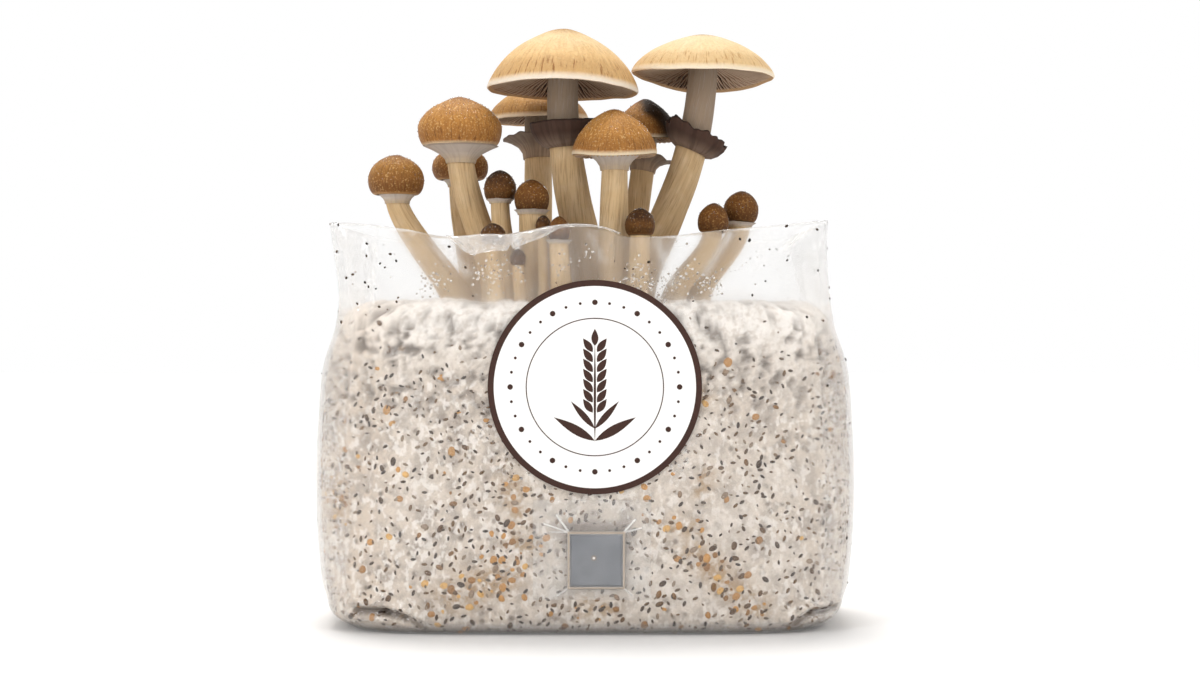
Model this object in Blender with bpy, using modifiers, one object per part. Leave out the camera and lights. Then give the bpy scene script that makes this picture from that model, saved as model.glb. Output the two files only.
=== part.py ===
"""A clear gusseted grow bag of grain bound by mycelium, cut open at the top, with capped
mushrooms growing out of it. A round label and a square injection port sit on its front.

Frame: metres, +Z up, the bag's front faces -Y, its width runs along X. The origin is the centre
of the whole object's footprint, on the surface that the bag stands on.
"""

from collections import namedtuple
import math

import bmesh
import bpy
import numpy as np
from mathutils import Matrix, Vector

MM = 0.001
OBJECT_NAME = "mushroom_grow_bag"

# ---- bag ---------------------------------------------------------------------------------
# Cross-sections of the filled bag, from the floor up, in millimetres: height, half width, half
# depth, corner squareness (the superellipse's exponent), how far the side gusset is folded
# inwards, and how far the middle of the front and back panels bows out past the corners.
Section = namedtuple("Section", "height half_width half_depth squareness fold bow")
SECTIONS = (
    Section(0, 98, 56, 5.5, 0, 0),
    Section(4, 106, 60.5, 5.0, 0, 0),
    Section(14, 112, 63.5, 4.2, 0, 0),
    Section(32, 115.5, 64.6, 3.6, 0, 0),
    Section(62, 117, 65, 3.3, 0, 0),
    Section(90, 116, 65, 3.3, 0, 0),
    Section(112, 113.5, 64.2, 3.6, 0, 0),
    Section(131, 108, 62.5, 5, 4, 0),
    Section(144, 104.5, 60, 9, 9, 1),
    Section(158, 103.5, 58.5, 16, 11, 2),
    Section(171.5, 104, 57.5, 30, 12, 3),
)
SHOULDER = 131 * MM        # the film stands free of the block above this height
RIM_CORNER = 171.5 * MM    # height of the cut edge at the bag's four corners
RIM_MIDDLE = 166.5 * MM    # height of the cut edge half way along the front and back
GUSSET_REACH = 0.85        # share of the half depth that the gusset's V fold takes up
FILM_WALL = 0.5 * MM
FRONT_STEPS = 12           # facets along the front panel
SIDE_STEPS = 8             # facets along a side gusset

GAP = 0.3 * MM             # clearance between touching pieces

# ---- block -------------------------------------------------------------------------------
BLOCK_TOP = 138 * MM
BLOCK_INSET = 1.2 * MM     # from the bag's outer face to the block's side
BLOCK_LIFT = FILM_WALL + GAP
BLOCK_EDGE_ROUND = 6 * MM

# ---- label, injection port and its patch ---------------------------------------------------
LABEL_CENTRE = (4.3 * MM, 103 * MM)
LABEL_RADIUS = 44 * MM
LABEL_THICKNESS = 0.25 * MM
LABEL_RINGS = 3
LABEL_STEPS = 20

PORT_CENTRE = (4.9 * MM, 32 * MM)
PORT_SIDE = 21.7 * MM
PORT_THICKNESS = 1.6 * MM
PORT_EDGE_BEVEL = 0.3 * MM

PATCH_CENTRE = (3.1 * MM, 36.2 * MM)
PATCH_WIDTH = 48.4 * MM
PATCH_HEIGHT = 41 * MM
PATCH_THICKNESS = 0.2 * MM
PATCH_SHOULDER = 3 * MM    # width of the slope from the port's top down to the bag

# ---- mushrooms ---------------------------------------------------------------------------
# Each mushroom, in millimetres: its number, the stem's foot on the block, the point where the
# cap's margin plane crosses the stem, the stem's radius at foot and top, the cap's radius and
# height, the cap's form, the cap's lean to the right in degrees, and the shares of the stem's
# length over which its foot stays upright and its crown stays square to the cap.
Mushroom = namedtuple(
    "Mushroom", "number foot crown foot_radius top_radius cap_radius cap_height form lean"
    " foot_hold crown_hold", defaults=(0, 0.3, 0.34))
MUSHROOMS = (
    Mushroom(1, (-55.5, -16), (-82, -18, 185), 6.5, 4.6, 12.1, 17.4, "bud", 0, 0.15, 0.25),
    Mushroom(2, (-38, -14), (-54.5, -16, 206), 6.5, 5.7, 18.2, 21.8, "bell"),
    Mushroom(3, (-50, 12), (-56.4, 14, 194), 5.6, 5, 12.6, 15.4, "bud"),
    Mushroom(4, (-32, -26), (-36.4, -28, 182), 4.8, 4, 6.9, 13, "bud"),
    Mushroom(5, (-21, -31), (-22.6, -34, 177), 6.2, 5.5, 7.4, 13.5, "bud"),
    Mushroom(6, (3, -8), (-9.5, -12, 233), 8.8, 6.6, 33.2, 25, "open", 2, 0.2, 0.5),
    Mushroom(7, (-22, 36), (-22.6, 41, 224), 7, 6, 23.5, 16.7, "open", -1),
    Mushroom(8, (12, -31), (12.6, -34, 201.3), 7.2, 5.2, 18.1, 19.2, "dome"),
    Mushroom(9, (19, 16), (27, 20, 211.8), 5.8, 5, 14.7, 19.4, "dome", 0, 0.3, 0.2),
    Mushroom(10, (21, -4), (52, -2, 240), 8.6, 6.3, 31.8, 17, "open", 1, 0.15, 0.5),
    Mushroom(11, (22, -42), (23.2, -44, 166.3), 4.6, 4.2, 6.3, 11.4, "bud"),
    Mushroom(12, (38, -24), (54.7, -26, 168.2), 5, 4.2, 6.7, 12.8, "bud", 4),
    Mushroom(13, (49, -12), (67.6, -14, 173.6), 5.2, 4.6, 7.6, 13.5, "bud", 4),
    Mushroom(14, (-37, -45), (-38.4, -47, 162.5), 3.6, 3.2, 5.4, 8.7, "bud"),
    Mushroom(15, (-17, -43), (-17.4, -44, 167.3), 2.5, 2.2, 3.3, 7.4, "bud"),
    Mushroom(16, (-9.5, -48), (-10.7, -50, 163.5), 4.4, 3.9, 4.4, 10.4, "bud"),
    Mushroom(17, (-27, -46), (-27.9, -48, 153.5), 2.6, 2.3, 3.3, 7, "bud"),
)

# How each form of cap is drawn, as shares of its radius or height: how high its widest line
# lies, its margin's radius, the exponents of the dome's outline, and the underside's hollow.
CapForm = namedtuple("CapForm", "widest margin run rise hollow")
CAP_FORMS = {
    "open": CapForm(0.0, 1.0, 2.0, 0.72, 0.26),
    "dome": CapForm(0.06, 0.97, 2.0, 0.60, 0.12),
    "bell": CapForm(0.38, 0.80, 2.0, 0.62, 0.0),
    "bud": CapForm(0.38, 0.72, 2.0, 0.55, 0.0),
}
MARGIN_THICKNESS = 0.8     # mm, of an open cap's edge

# The ring on a stem, in millimetres: the mushroom's number, the height of its collar, its length
# up the stem, its radius at the flared top, and the wall. A level one is a young veil that still
# lies along the cap's margin, and the others stand square to the stem.
Ring = namedtuple("Ring", "number collar length flare wall level", defaults=(False,))
RINGS = (
    Ring(1, 180.4, 4.2, 8.8, 0.8, True),
    Ring(2, 198.0, 7.4, 13.6, 0.9, True),
    Ring(3, 190.0, 3.6, 8.8, 0.8, True),
    Ring(4, 179.8, 1.8, 5.6, 0.7, True),
    Ring(5, 174.6, 2.0, 7.0, 0.7, True),
    Ring(6, 206.4, 12.0, 14.4, 0.9),
    Ring(7, 205.5, 10.5, 14.4, 0.9),
    Ring(8, 193.7, 6.8, 12.1, 0.8),
    Ring(9, 198.2, 7.6, 11.8, 0.8),
    Ring(10, 206.5, 11.5, 14.0, 0.9),
    Ring(13, 170.8, 2.2, 6.6, 0.7, True),
    Ring(16, 161.4, 1.7, 5.0, 0.6, True),
)
COLLAR_SHARE = 0.2         # share of a ring's length that hugs the stem

STEM_FOOT = BLOCK_TOP + GAP
STEM_UPRIGHT = 1.5 * MM    # straight stretch above the block, so that the foot's face lies flat
STEM_END_SHARE = 0.02      # the same at the cap, as a share of the stem's length
BIG_STEM = 5.5             # mm of foot radius from which a stem gets more sides and steps
TURN_STEPS_SMALL = 10
TURN_STEPS_MIDDLE = 11
TURN_STEPS_BIG = 18


# ---- scene and materials -------------------------------------------------------------------

def clear_scene():
    for stale in list(bpy.data.objects):
        bpy.data.objects.remove(stale, do_unlink=True)


def make_material(name, colour, roughness, alpha=1.0):
    material = bpy.data.materials.new(name)
    material.use_nodes = True
    shader = material.node_tree.nodes["Principled BSDF"]
    shader.inputs["Base Color"].default_value = (*colour, 1.0)
    shader.inputs["Roughness"].default_value = roughness
    shader.inputs["Metallic"].default_value = 0.0
    shader.inputs["Alpha"].default_value = alpha
    material.diffuse_color = (*colour, alpha)
    return material


def make_materials():
    return {
        "film": make_material("clear_polypropylene_film", (0.86, 0.88, 0.88), 0.15, 0.3),
        "block": make_material("mycelium_on_grain", (0.80, 0.75, 0.67), 0.95),
        "label": make_material("label_paper", (0.93, 0.92, 0.90), 0.45),
        "port": make_material("grey_silicone_rubber", (0.25, 0.26, 0.28), 0.6),
        "patch": make_material("clear_adhesive_film", (0.88, 0.89, 0.89), 0.2, 0.3),
        "stem": make_material("stem_flesh", (0.58, 0.44, 0.28), 0.7),
        "cap": make_material("cap_skin", (0.62, 0.36, 0.13), 0.45),
        "ring": make_material("ring_tissue", (0.30, 0.24, 0.22), 0.8),
    }


def make_collection(name):
    collection = bpy.data.collections.new(name)
    bpy.context.scene.collection.children.link(collection)
    return collection


def make_root(collection):
    root = bpy.data.objects.new(OBJECT_NAME, None)
    root.empty_display_type = "ARROWS"
    collection.objects.link(root)
    return root


def add_piece(name, data, material, root):
    piece = bpy.data.objects.new(name, data)
    root.users_collection[0].objects.link(piece)
    piece.parent = root
    data.materials.append(material)
    return piece


def add_solidify(piece, thickness, offset):
    wall = piece.modifiers.new("wall", "SOLIDIFY")
    wall.thickness = thickness
    wall.offset = offset
    wall.use_even_offset = True


def shade_round(mesh, sharp_degrees=40):
    mesh.shade_smooth()
    mesh.set_sharp_from_angle(angle=math.radians(sharp_degrees))


# ---- the bag's shape -----------------------------------------------------------------------

def section_at(height):
    """The section at a height in metres, with its lengths in metres too."""
    heights, *columns = zip(*SECTIONS)
    values = [float(np.interp(height / MM, heights, column)) for column in columns]
    half_width, half_depth, squareness, fold, bow = values
    return Section(height, half_width * MM, half_depth * MM, squareness, fold * MM, bow * MM)


def rim_height(x):
    """Height of the cut edge: it dips along the middle of the front and back panels."""
    across = min(abs(x) / (SECTIONS[-1].half_width * MM), 1.0)
    return RIM_MIDDLE + (RIM_CORNER - RIM_MIDDLE) * across ** 4


def walk_square():
    """Points round a square from -1 to 1, evenly spaced: front panel, right, back, left."""
    along = np.linspace(-1, 1, FRONT_STEPS + 1)[:-1]
    up = np.linspace(-1, 1, SIDE_STEPS + 1)[:-1]
    front = [(p, -1.0) for p in along]
    right = [(1.0, q) for q in up]
    back = [(-p, 1.0) for p in along]
    left = [(-1.0, -q) for q in up]
    return front + right + back + left


def ring_at(height, inset=0.0):
    """One level of the bag: the square pulled in to a superellipse, its gussets folded in."""
    section = section_at(height)
    half_width = section.half_width - inset
    half_depth = section.half_depth - inset
    points = []
    for p, q in walk_square():
        pull = (abs(p) ** section.squareness + abs(q) ** section.squareness)
        pull = pull ** (-1.0 / section.squareness)
        x = half_width * p * pull
        y = half_depth * q * pull
        if abs(p) == 1.0:
            x -= math.copysign(section.fold * max(0.0, 1 - abs(q) / GUSSET_REACH), p)
        else:
            y += math.copysign(section.bow * (1 - p * p), q)
        z = height
        if height > SHOULDER:
            free = (height - SHOULDER) / (RIM_CORNER - SHOULDER)
            z = SHOULDER + free * (rim_height(x) - SHOULDER)
        points.append(Vector((x, y, z)))
    return points


def front_of_bag(x, z):
    """Y of the bag's front panel at a place across and up it."""
    height = z
    if z > SHOULDER:
        free = (z - SHOULDER) / (rim_height(x) - SHOULDER)
        height = SHOULDER + free * (RIM_CORNER - SHOULDER)
    section = section_at(height)
    across = min(abs(x) / section.half_width, 1.0)
    depth = section.half_depth * (1 - across ** section.squareness) ** (1 / section.squareness)
    return -(depth + section.bow * (1 - across * across))


def loft(name, rings, close_top):
    """A skin through closed rings of equal count, with a flat floor and perhaps a flat top."""
    form = bmesh.new()
    levels = [[form.verts.new(point) for point in ring] for ring in rings]
    for lower, upper in zip(levels, levels[1:]):
        count = len(lower)
        for i in range(count):
            j = (i + 1) % count
            form.faces.new((lower[i], lower[j], upper[j], upper[i]))
    form.faces.new(list(reversed(levels[0])))
    if close_top:
        form.faces.new(levels[-1])
    mesh = bpy.data.meshes.new(name)
    form.to_mesh(mesh)
    form.free()
    shade_round(mesh)
    return mesh


def build_bag(materials, root):
    rings = [ring_at(section.height * MM) for section in SECTIONS]
    bag = add_piece("bag_film", loft("bag_film", rings, False), materials["film"], root)
    add_solidify(bag, FILM_WALL, -1)


def build_block(materials, root):
    rings = []
    for section in SECTIONS:
        if section.height * MM <= SHOULDER:
            ring = ring_at(section.height * MM, BLOCK_INSET)
            rings.append([point + Vector((0, 0, BLOCK_LIFT)) for point in ring])
    edge = ring_at(SHOULDER, BLOCK_INSET + BLOCK_EDGE_ROUND)
    rings.append([Vector((point.x, point.y, BLOCK_TOP)) for point in edge])
    mesh = loft("substrate_block", rings, True)
    add_piece("substrate_block", mesh, materials["block"], root)


# ---- what sits on the bag's front ------------------------------------------------------------

def lay_on_front(form, centre, lift):
    """Move a flat form from the XZ plane onto the bag's front, lift(u, v) clear of the film."""
    for vert in form.verts:
        u = vert.co.x
        v = vert.co.z
        x = centre[0] + u
        z = centre[1] + v
        vert.co = (x, front_of_bag(x, z) - lift(u, v), z)


def finish_sheet(name, form, thickness, material, root):
    mesh = bpy.data.meshes.new(name)
    form.to_mesh(mesh)
    form.free()
    sheet = add_piece(name, mesh, material, root)
    add_solidify(sheet, thickness, 1)
    return sheet


def build_label(materials, root):
    form = bmesh.new()
    spoke = [form.verts.new((LABEL_RADIUS * i / LABEL_RINGS, 0, 0))
             for i in range(LABEL_RINGS + 1)]
    edges = [form.edges.new(pair) for pair in zip(spoke, spoke[1:])]
    bmesh.ops.spin(form, geom=spoke + edges, axis=(0, 1, 0), cent=(0, 0, 0),
                   angle=2 * math.pi, steps=LABEL_STEPS, use_merge=True)
    bmesh.ops.remove_doubles(form, verts=form.verts, dist=1e-6)
    bmesh.ops.recalc_face_normals(form, faces=form.faces)
    lay_on_front(form, LABEL_CENTRE, lambda u, v: GAP)
    face_forward(form)
    finish_sheet("label", form, LABEL_THICKNESS, materials["label"], root)


def face_forward(form):
    """Turn an open sheet's faces to the front, so that its wall grows away from the bag."""
    form.normal_update()
    backward = [face for face in form.faces if face.normal.y > 0]
    bmesh.ops.reverse_faces(form, faces=backward)


def front_slope(x, z):
    """The angle by which the front panel leans back at a height."""
    step = 2 * MM
    return math.atan2(front_of_bag(x, z + step) - front_of_bag(x, z - step), 2 * step)


def build_port(materials, root):
    form = bmesh.new()
    bmesh.ops.create_cube(form, size=1.0)
    bmesh.ops.scale(form, verts=form.verts, vec=(PORT_SIDE, PORT_THICKNESS, PORT_SIDE))
    mesh = bpy.data.meshes.new("injection_port")
    form.to_mesh(mesh)
    form.free()
    port = add_piece("injection_port", mesh, materials["port"], root)
    x, z = PORT_CENTRE
    lean = front_slope(x, z)
    port.location = (x, front_of_bag(x, z) - GAP - PORT_THICKNESS / 2, z)
    port.rotation_euler = (-lean, 0, 0)
    edge = port.modifiers.new("edge", "BEVEL")
    edge.width = PORT_EDGE_BEVEL
    edge.segments = 1


def build_patch(materials, root):
    """A clear sheet that follows the bag, rises over the port's edges and lies on its face."""
    port_half = PORT_SIDE / 2 + GAP
    slope_end = port_half + PATCH_SHOULDER
    offset_u = PORT_CENTRE[0] - PATCH_CENTRE[0]
    offset_v = PORT_CENTRE[1] - PATCH_CENTRE[1]
    height = PORT_THICKNESS + 2 * GAP

    def stops(half, offset):
        inner = [offset - slope_end, offset - port_half, offset,
                 offset + port_half, offset + slope_end]
        return [-half] + inner + [half]

    def slope(distance):
        return min(1.0, max(0.0, (slope_end - abs(distance)) / PATCH_SHOULDER))

    def lift(u, v):
        return GAP + height * slope(u - offset_u) * slope(v - offset_v)

    columns = stops(PATCH_WIDTH / 2, offset_u)
    rows = stops(PATCH_HEIGHT / 2, offset_v)
    form = bmesh.new()
    grid = [[form.verts.new((u, 0, v)) for u in columns] for v in rows]
    for low, high in zip(grid, grid[1:]):
        for i in range(len(low) - 1):
            form.faces.new((low[i], low[i + 1], high[i + 1], high[i]))
    lay_on_front(form, PATCH_CENTRE, lift)
    face_forward(form)
    finish_sheet("port_patch", form, PATCH_THICKNESS, materials["patch"], root)


# ---- mushrooms -------------------------------------------------------------------------------

def crown_axis(mushroom):
    lean = math.radians(mushroom.lean)
    return Vector((math.sin(lean), 0, math.cos(lean)))


def hollow_height(mushroom):
    return CAP_FORMS[mushroom.form].hollow * mushroom.cap_height


def stem_top(mushroom):
    crown = Vector(mushroom.crown) * MM
    return crown + crown_axis(mushroom) * (hollow_height(mushroom) * MM - GAP)


def stem_point(mushroom, t):
    """A point on the stem's centre line: it leaves the block upright and meets the cap square."""
    foot = Vector((mushroom.foot[0] * MM, mushroom.foot[1] * MM, STEM_FOOT))
    top = stem_top(mushroom)
    length = (top - foot).length
    from_foot = foot + Vector((0, 0, length * mushroom.foot_hold))
    to_top = top - crown_axis(mushroom) * length * mushroom.crown_hold
    s = 1 - t
    return foot * s ** 3 + from_foot * 3 * s * s * t + to_top * 3 * s * t * t + top * t ** 3


def stem_radius(mushroom, t):
    return MM * (mushroom.foot_radius + (mushroom.top_radius - mushroom.foot_radius) * t)


def build_stem(mushroom, materials, root):
    name = f"stem_{mushroom.number:02d}"
    big = mushroom.foot_radius >= BIG_STEM
    steps = 6 if big else 4
    curve = bpy.data.curves.new(name, "CURVE")
    curve.dimensions = "3D"
    curve.bevel_depth = mushroom.foot_radius * MM
    curve.bevel_resolution = 2 if big else 1
    curve.use_fill_caps = True
    spline = curve.splines.new("POLY")
    stops = [0.0, STEM_END_SHARE] + [i / steps for i in range(1, steps)] + [1 - STEM_END_SHARE, 1.0]
    spline.points.add(len(stops) - 1)
    for point, t in zip(spline.points, stops):
        point.co = (*stem_point(mushroom, t), 1.0)
        point.radius = stem_radius(mushroom, t) / curve.bevel_depth
    foot = spline.points[0].co
    spline.points[1].co = (foot.x, foot.y, foot.z + STEM_UPRIGHT, 1.0)
    add_piece(name, curve, materials["stem"], root)


def cap_profile(mushroom, steps):
    """The cap's outline from its tip down the outer side, round the margin and in to the axis."""
    form = CAP_FORMS[mushroom.form]
    radius = mushroom.cap_radius
    height = mushroom.cap_height
    floor = form.widest * height
    outline = []
    for i in range(steps + 1):
        run = math.sin(0.5 * math.pi * i / steps)
        rise = max(0.0, 1 - run ** form.run) ** form.rise
        outline.append((radius * run, floor + (height - floor) * rise))
    if form.widest > 0.1:
        for i in (1, 2):
            turn = 0.25 * math.pi * i
            tuck = form.margin + (1 - form.margin) * math.cos(turn)
            outline.append((radius * tuck, floor * (1 - math.sin(turn))))
    else:
        outline.append((radius - 0.4 * MARGIN_THICKNESS, floor - 0.7 * MARGIN_THICKNESS))
        outline.append((radius - 1.6 * MARGIN_THICKNESS, floor - 0.3 * MARGIN_THICKNESS))
    hollow = form.hollow * height
    flat = mushroom.top_radius + 1.0
    if hollow > 0:
        inner = outline[-1][0]
        outline.append((0.5 * (inner + flat), 0.72 * hollow))
        outline.append((flat, hollow))
    outline.append((0.0, hollow))
    return outline


def turn_profile(name, outline, steps, material, root, closed_loop=False):
    """A profile in millimetres, turned about Z with a Screw modifier."""
    form = bmesh.new()
    verts = [form.verts.new((r * MM, 0, z * MM)) for r, z in outline]
    pairs = list(zip(verts, verts[1:]))
    if closed_loop:
        pairs.append((verts[-1], verts[0]))
    for pair in pairs:
        form.edges.new(pair)
    mesh = bpy.data.meshes.new(name)
    form.to_mesh(mesh)
    form.free()
    piece = add_piece(name, mesh, material, root)
    turn = piece.modifiers.new("turn", "SCREW")
    turn.steps = steps
    turn.render_steps = steps
    turn.use_merge_vertices = True
    turn.merge_threshold = 0.00001
    turn.use_smooth_shade = True
    return piece


def build_cap(mushroom, materials, root):
    big = mushroom.cap_radius > 15
    steps = TURN_STEPS_BIG if big else TURN_STEPS_SMALL
    outline = cap_profile(mushroom, 5 if big else 4)
    cap = turn_profile(f"cap_{mushroom.number:02d}", outline, steps, materials["cap"], root)
    cap.location = Vector(mushroom.crown) * MM
    cap.rotation_euler = (0, math.radians(mushroom.lean), 0)


def stem_at_height(mushroom, height):
    """The place along the stem, from 0 at the foot to 1 at the top, that lies at a height."""
    low = 0.0
    high = 1.0
    for _ in range(40):
        middle = 0.5 * (low + high)
        if stem_point(mushroom, middle).z < height:
            low = middle
        else:
            high = middle
    return low


def build_ring(ring, mushroom, materials, root):
    """A funnel of thin tissue: its collar hugs the stem and its flare opens upwards."""
    steps = TURN_STEPS_MIDDLE if ring.flare > 10 else TURN_STEPS_SMALL
    t = stem_at_height(mushroom, ring.collar * MM)
    base = stem_point(mushroom, t)
    direction = (stem_point(mushroom, min(1.0, t + 0.02)) - stem_point(mushroom, t - 0.02))
    direction.normalize()
    slack = 2 * GAP / MM
    if ring.level:
        cant = direction.angle(crown_axis(mushroom))
        slack += ring.length * math.tan(cant)
        direction = crown_axis(mushroom)
    polygon_slack = 1 / math.cos(math.pi / steps)
    bore = (stem_radius(mushroom, t) / MM + slack) * polygon_slack
    collar = COLLAR_SHARE * ring.length
    flare = max(ring.flare, bore + 2 * ring.wall)
    waist = bore + 0.35 * (flare - bore)
    outline = [
        (flare, ring.length),
        (waist + ring.wall, 0.55 * ring.length),
        (bore + ring.wall, collar),
        (bore + 0.8 * ring.wall, 0.0),
        (bore, 0.0),
        (bore, collar),
        (waist, 0.55 * ring.length + 0.5 * ring.wall),
        (flare - ring.wall, ring.length),
    ]
    piece = turn_profile(f"ring_{ring.number:02d}", outline, steps, materials["ring"], root,
                         closed_loop=True)
    turn = Vector((0, 0, 1)).rotation_difference(direction)
    piece.matrix_local = Matrix.LocRotScale(base, turn, None)


# ---- the whole object ------------------------------------------------------------------------

def centre_on_footprint(root):
    """Shift everything so that the origin is the centre of the whole footprint."""
    bpy.context.view_layer.update()
    graph = bpy.context.evaluated_depsgraph_get()
    corners = []
    for piece in root.children:
        evaluated = piece.evaluated_get(graph)
        mesh = evaluated.to_mesh()
        corners += [piece.matrix_world @ vert.co for vert in mesh.vertices]
        evaluated.to_mesh_clear()
    for axis in (0, 1):
        low = min(corner[axis] for corner in corners)
        high = max(corner[axis] for corner in corners)
        root.location[axis] = -0.5 * (low + high)


def main():
    clear_scene()
    materials = make_materials()
    root = make_root(make_collection(OBJECT_NAME))
    build_bag(materials, root)
    build_block(materials, root)
    build_label(materials, root)
    build_port(materials, root)
    build_patch(materials, root)
    by_number = {mushroom.number: mushroom for mushroom in MUSHROOMS}
    for mushroom in MUSHROOMS:
        build_stem(mushroom, materials, root)
        build_cap(mushroom, materials, root)
    for ring in RINGS:
        build_ring(ring, by_number[ring.number], materials, root)
    centre_on_footprint(root)


main()
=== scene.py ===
"""Looks of a clear gusseted grow bag of grain and mycelium, cut open at the top, with ringed
mushrooms growing out of it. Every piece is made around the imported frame, in metres, +Z up.
"""

import math
from collections import namedtuple
from itertools import product

import bmesh
import bpy
import numpy as np
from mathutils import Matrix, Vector


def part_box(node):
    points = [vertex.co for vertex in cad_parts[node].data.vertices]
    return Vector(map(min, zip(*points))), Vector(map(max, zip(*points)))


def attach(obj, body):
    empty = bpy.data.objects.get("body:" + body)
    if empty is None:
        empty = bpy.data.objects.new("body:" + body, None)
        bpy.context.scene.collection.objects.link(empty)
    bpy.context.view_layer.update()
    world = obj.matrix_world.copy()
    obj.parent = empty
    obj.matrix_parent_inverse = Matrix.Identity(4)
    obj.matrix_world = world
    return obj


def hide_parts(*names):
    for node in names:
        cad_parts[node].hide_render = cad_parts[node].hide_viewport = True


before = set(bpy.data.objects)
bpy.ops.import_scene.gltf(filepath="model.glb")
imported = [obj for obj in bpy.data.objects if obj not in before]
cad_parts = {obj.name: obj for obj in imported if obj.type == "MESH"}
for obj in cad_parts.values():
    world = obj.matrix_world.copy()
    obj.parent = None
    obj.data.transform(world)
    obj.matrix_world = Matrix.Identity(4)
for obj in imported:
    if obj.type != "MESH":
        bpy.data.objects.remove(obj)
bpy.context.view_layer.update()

bl_info = {
    "name": "Mushroom Grow Bag",
    "version": (1, 0, 0),
    "blender": (4, 5, 0),
    "location": "View3D > Sidebar > Grow Bag",
    "description": "A clear grow bag of grain and mycelium with mushrooms growing out of it",
    "category": "Add Mesh",
}

MM = 0.001
BODY = "root"

# ---- sizes taken over from the frame ---------------------------------------------------------


def middle_of(node):
    """The middle of a node's box."""
    low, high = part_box(node)
    return (low + high) / 2


BAG_AXIS_Y = middle_of("bag_film").y
LABEL_CENTRE = middle_of("label")
PORT_CENTRE = middle_of("injection_port")
PATCH_LOW, PATCH_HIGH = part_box("port_patch")

# The bag's cross-sections, from the floor up, in millimetres: height, half width, half depth,
# corner squareness (the superellipse's exponent), how far the side gusset is folded inwards, and
# how far the middle of the front and back panels bows out past the corners.
Section = namedtuple("Section", "height half_width half_depth squareness fold bow")
SECTIONS = (
    Section(0, 98, 56, 5.5, 0, 0),
    Section(4, 106, 60.5, 5.0, 0, 0),
    Section(14, 112, 63.5, 4.2, 0, 0),
    Section(32, 115.5, 64.6, 3.6, 0, 0),
    Section(62, 117, 65, 3.3, 0, 0),
    Section(90, 116, 65, 3.3, 0, 0),
    Section(112, 113.5, 64.2, 3.6, 0, 0),
    Section(131, 108, 62.5, 5, 4, 0),
    Section(144, 104.5, 60, 9, 9, 1),
    Section(158, 103.5, 58.5, 16, 11, 2),
    Section(171.5, 104, 57.5, 30, 12, 3),
)
SHOULDER = 131.0           # mm; the film stands free of the block above this height
RIM_CORNER = 171.5         # mm; height of the cut edge at the bag's corners
GUSSET_REACH = 0.85        # share of the half depth that the gusset's V fold takes up
RIM_SHIFT = 2.3            # mm that the free film leans to the left by its rim

# The cut edge along the front, in millimetres: place across the bag and height.
FRONT_RIM = (
    (-104, 171.3), (-86, 170.0), (-70, 167.8), (-55, 165.0), (-41, 165.8), (-31, 165.8),
    (-22, 167.4), (-10, 169.7), (4, 169.5), (11, 167.8), (17, 165.4), (27, 164.8), (39, 165.4),
    (56, 167.4), (70, 168.7), (85, 170.1), (104, 172.2),
)

# Creases in the film's front, in millimetres: both ends, how far it stands out (or in, below
# zero), and its half width.
Crease = namedtuple("Crease", "x0 z0 x1 z1 height width")
BAG_CREASES = (
    Crease(-98, 13.2, -84, 13.4, 2.2, 1.7),
    Crease(-84, 13.4, -73, 10.6, 2.2, 1.6),
    Crease(-73, 10.6, -64, 5.6, 1.6, 1.5),
    Crease(-95, 9.6, -83, 9.8, -4.2, 1.6),
    Crease(-83, 9.8, -74, 7.2, -4.0, 1.5),
    Crease(-74, 7.2, -66, 3.2, -2.6, 1.3),
    Crease(84, 6.4, 93, 12.1, 2.0, 1.6),
    Crease(93, 12.1, 106, 12.6, 2.2, 1.6),
    Crease(87, 4.2, 95, 8.4, -3.2, 1.4),
    Crease(95, 8.4, 106, 8.8, -4.2, 1.6),
)
HEADSPACE_CREASES = (
    Crease(92, 168, 83, 160.5, 1.6, 1.1),
    Crease(-86, 170, -88, 134, 1.3, 0.7),
    Crease(-70, 167, -74, 163, 0.6, 0.5),
    Crease(60, 166, 50, 150, 0.8, 1.6),
    Crease(30, 163, 36, 146, 0.7, 1.8),
    Crease(-60, 162, -48, 150, 0.7, 1.5),
    Crease(76, 167, 71, 152, 0.5, 1.2),
    Crease(-96, 165, -99, 140, 0.6, 1.2),
    Crease(97, 160, 101, 140, 0.6, 1.4),
    Crease(2, 166, 8, 155, 0.5, 1.2),
)
PATCH_CREASES = (
    Crease(-6.3, 43.4, -11.5, 50.5, 0.55, 0.35),
    Crease(-6.3, 43.4, -16.5, 47.0, 0.45, 0.35),
    Crease(-6.3, 43.4, -14.0, 43.6, 0.35, 0.3),
    Crease(16.1, 43.4, 20.8, 48.6, 0.6, 0.35),
    Crease(16.1, 43.4, 23.5, 45.2, 0.4, 0.35),
    Crease(-6.3, 20.6, -11.0, 17.5, 0.3, 0.35),
    Crease(16.1, 20.6, 19.5, 17.6, 0.3, 0.35),
)

# Where uncolonised golden grain shows through the mycelium on the front, in millimetres: the two
# ends of each patch and its radius.
GrainPatch = namedtuple("GrainPatch", "x0 z0 x1 z1 radius")
GRAIN_PATCHES = (
    GrainPatch(-31, 62, -26, 50, 6),
    GrainPatch(-54, 17, -33, 25, 8.5),
    GrainPatch(38, 46, 45, 44, 4.5),
    GrainPatch(44, 34, 56, 26, 7),
    GrainPatch(56, 24, 72, 12, 6),
    GrainPatch(48, 60, 50, 66, 4),
    GrainPatch(-30, 40, -20, 37, 4),
    GrainPatch(-104, 48, -103, 60, 5),
    GrainPatch(42, 104, 49, 98, 4),
    GrainPatch(0, 13, 10, 12, 5),
)

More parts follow.
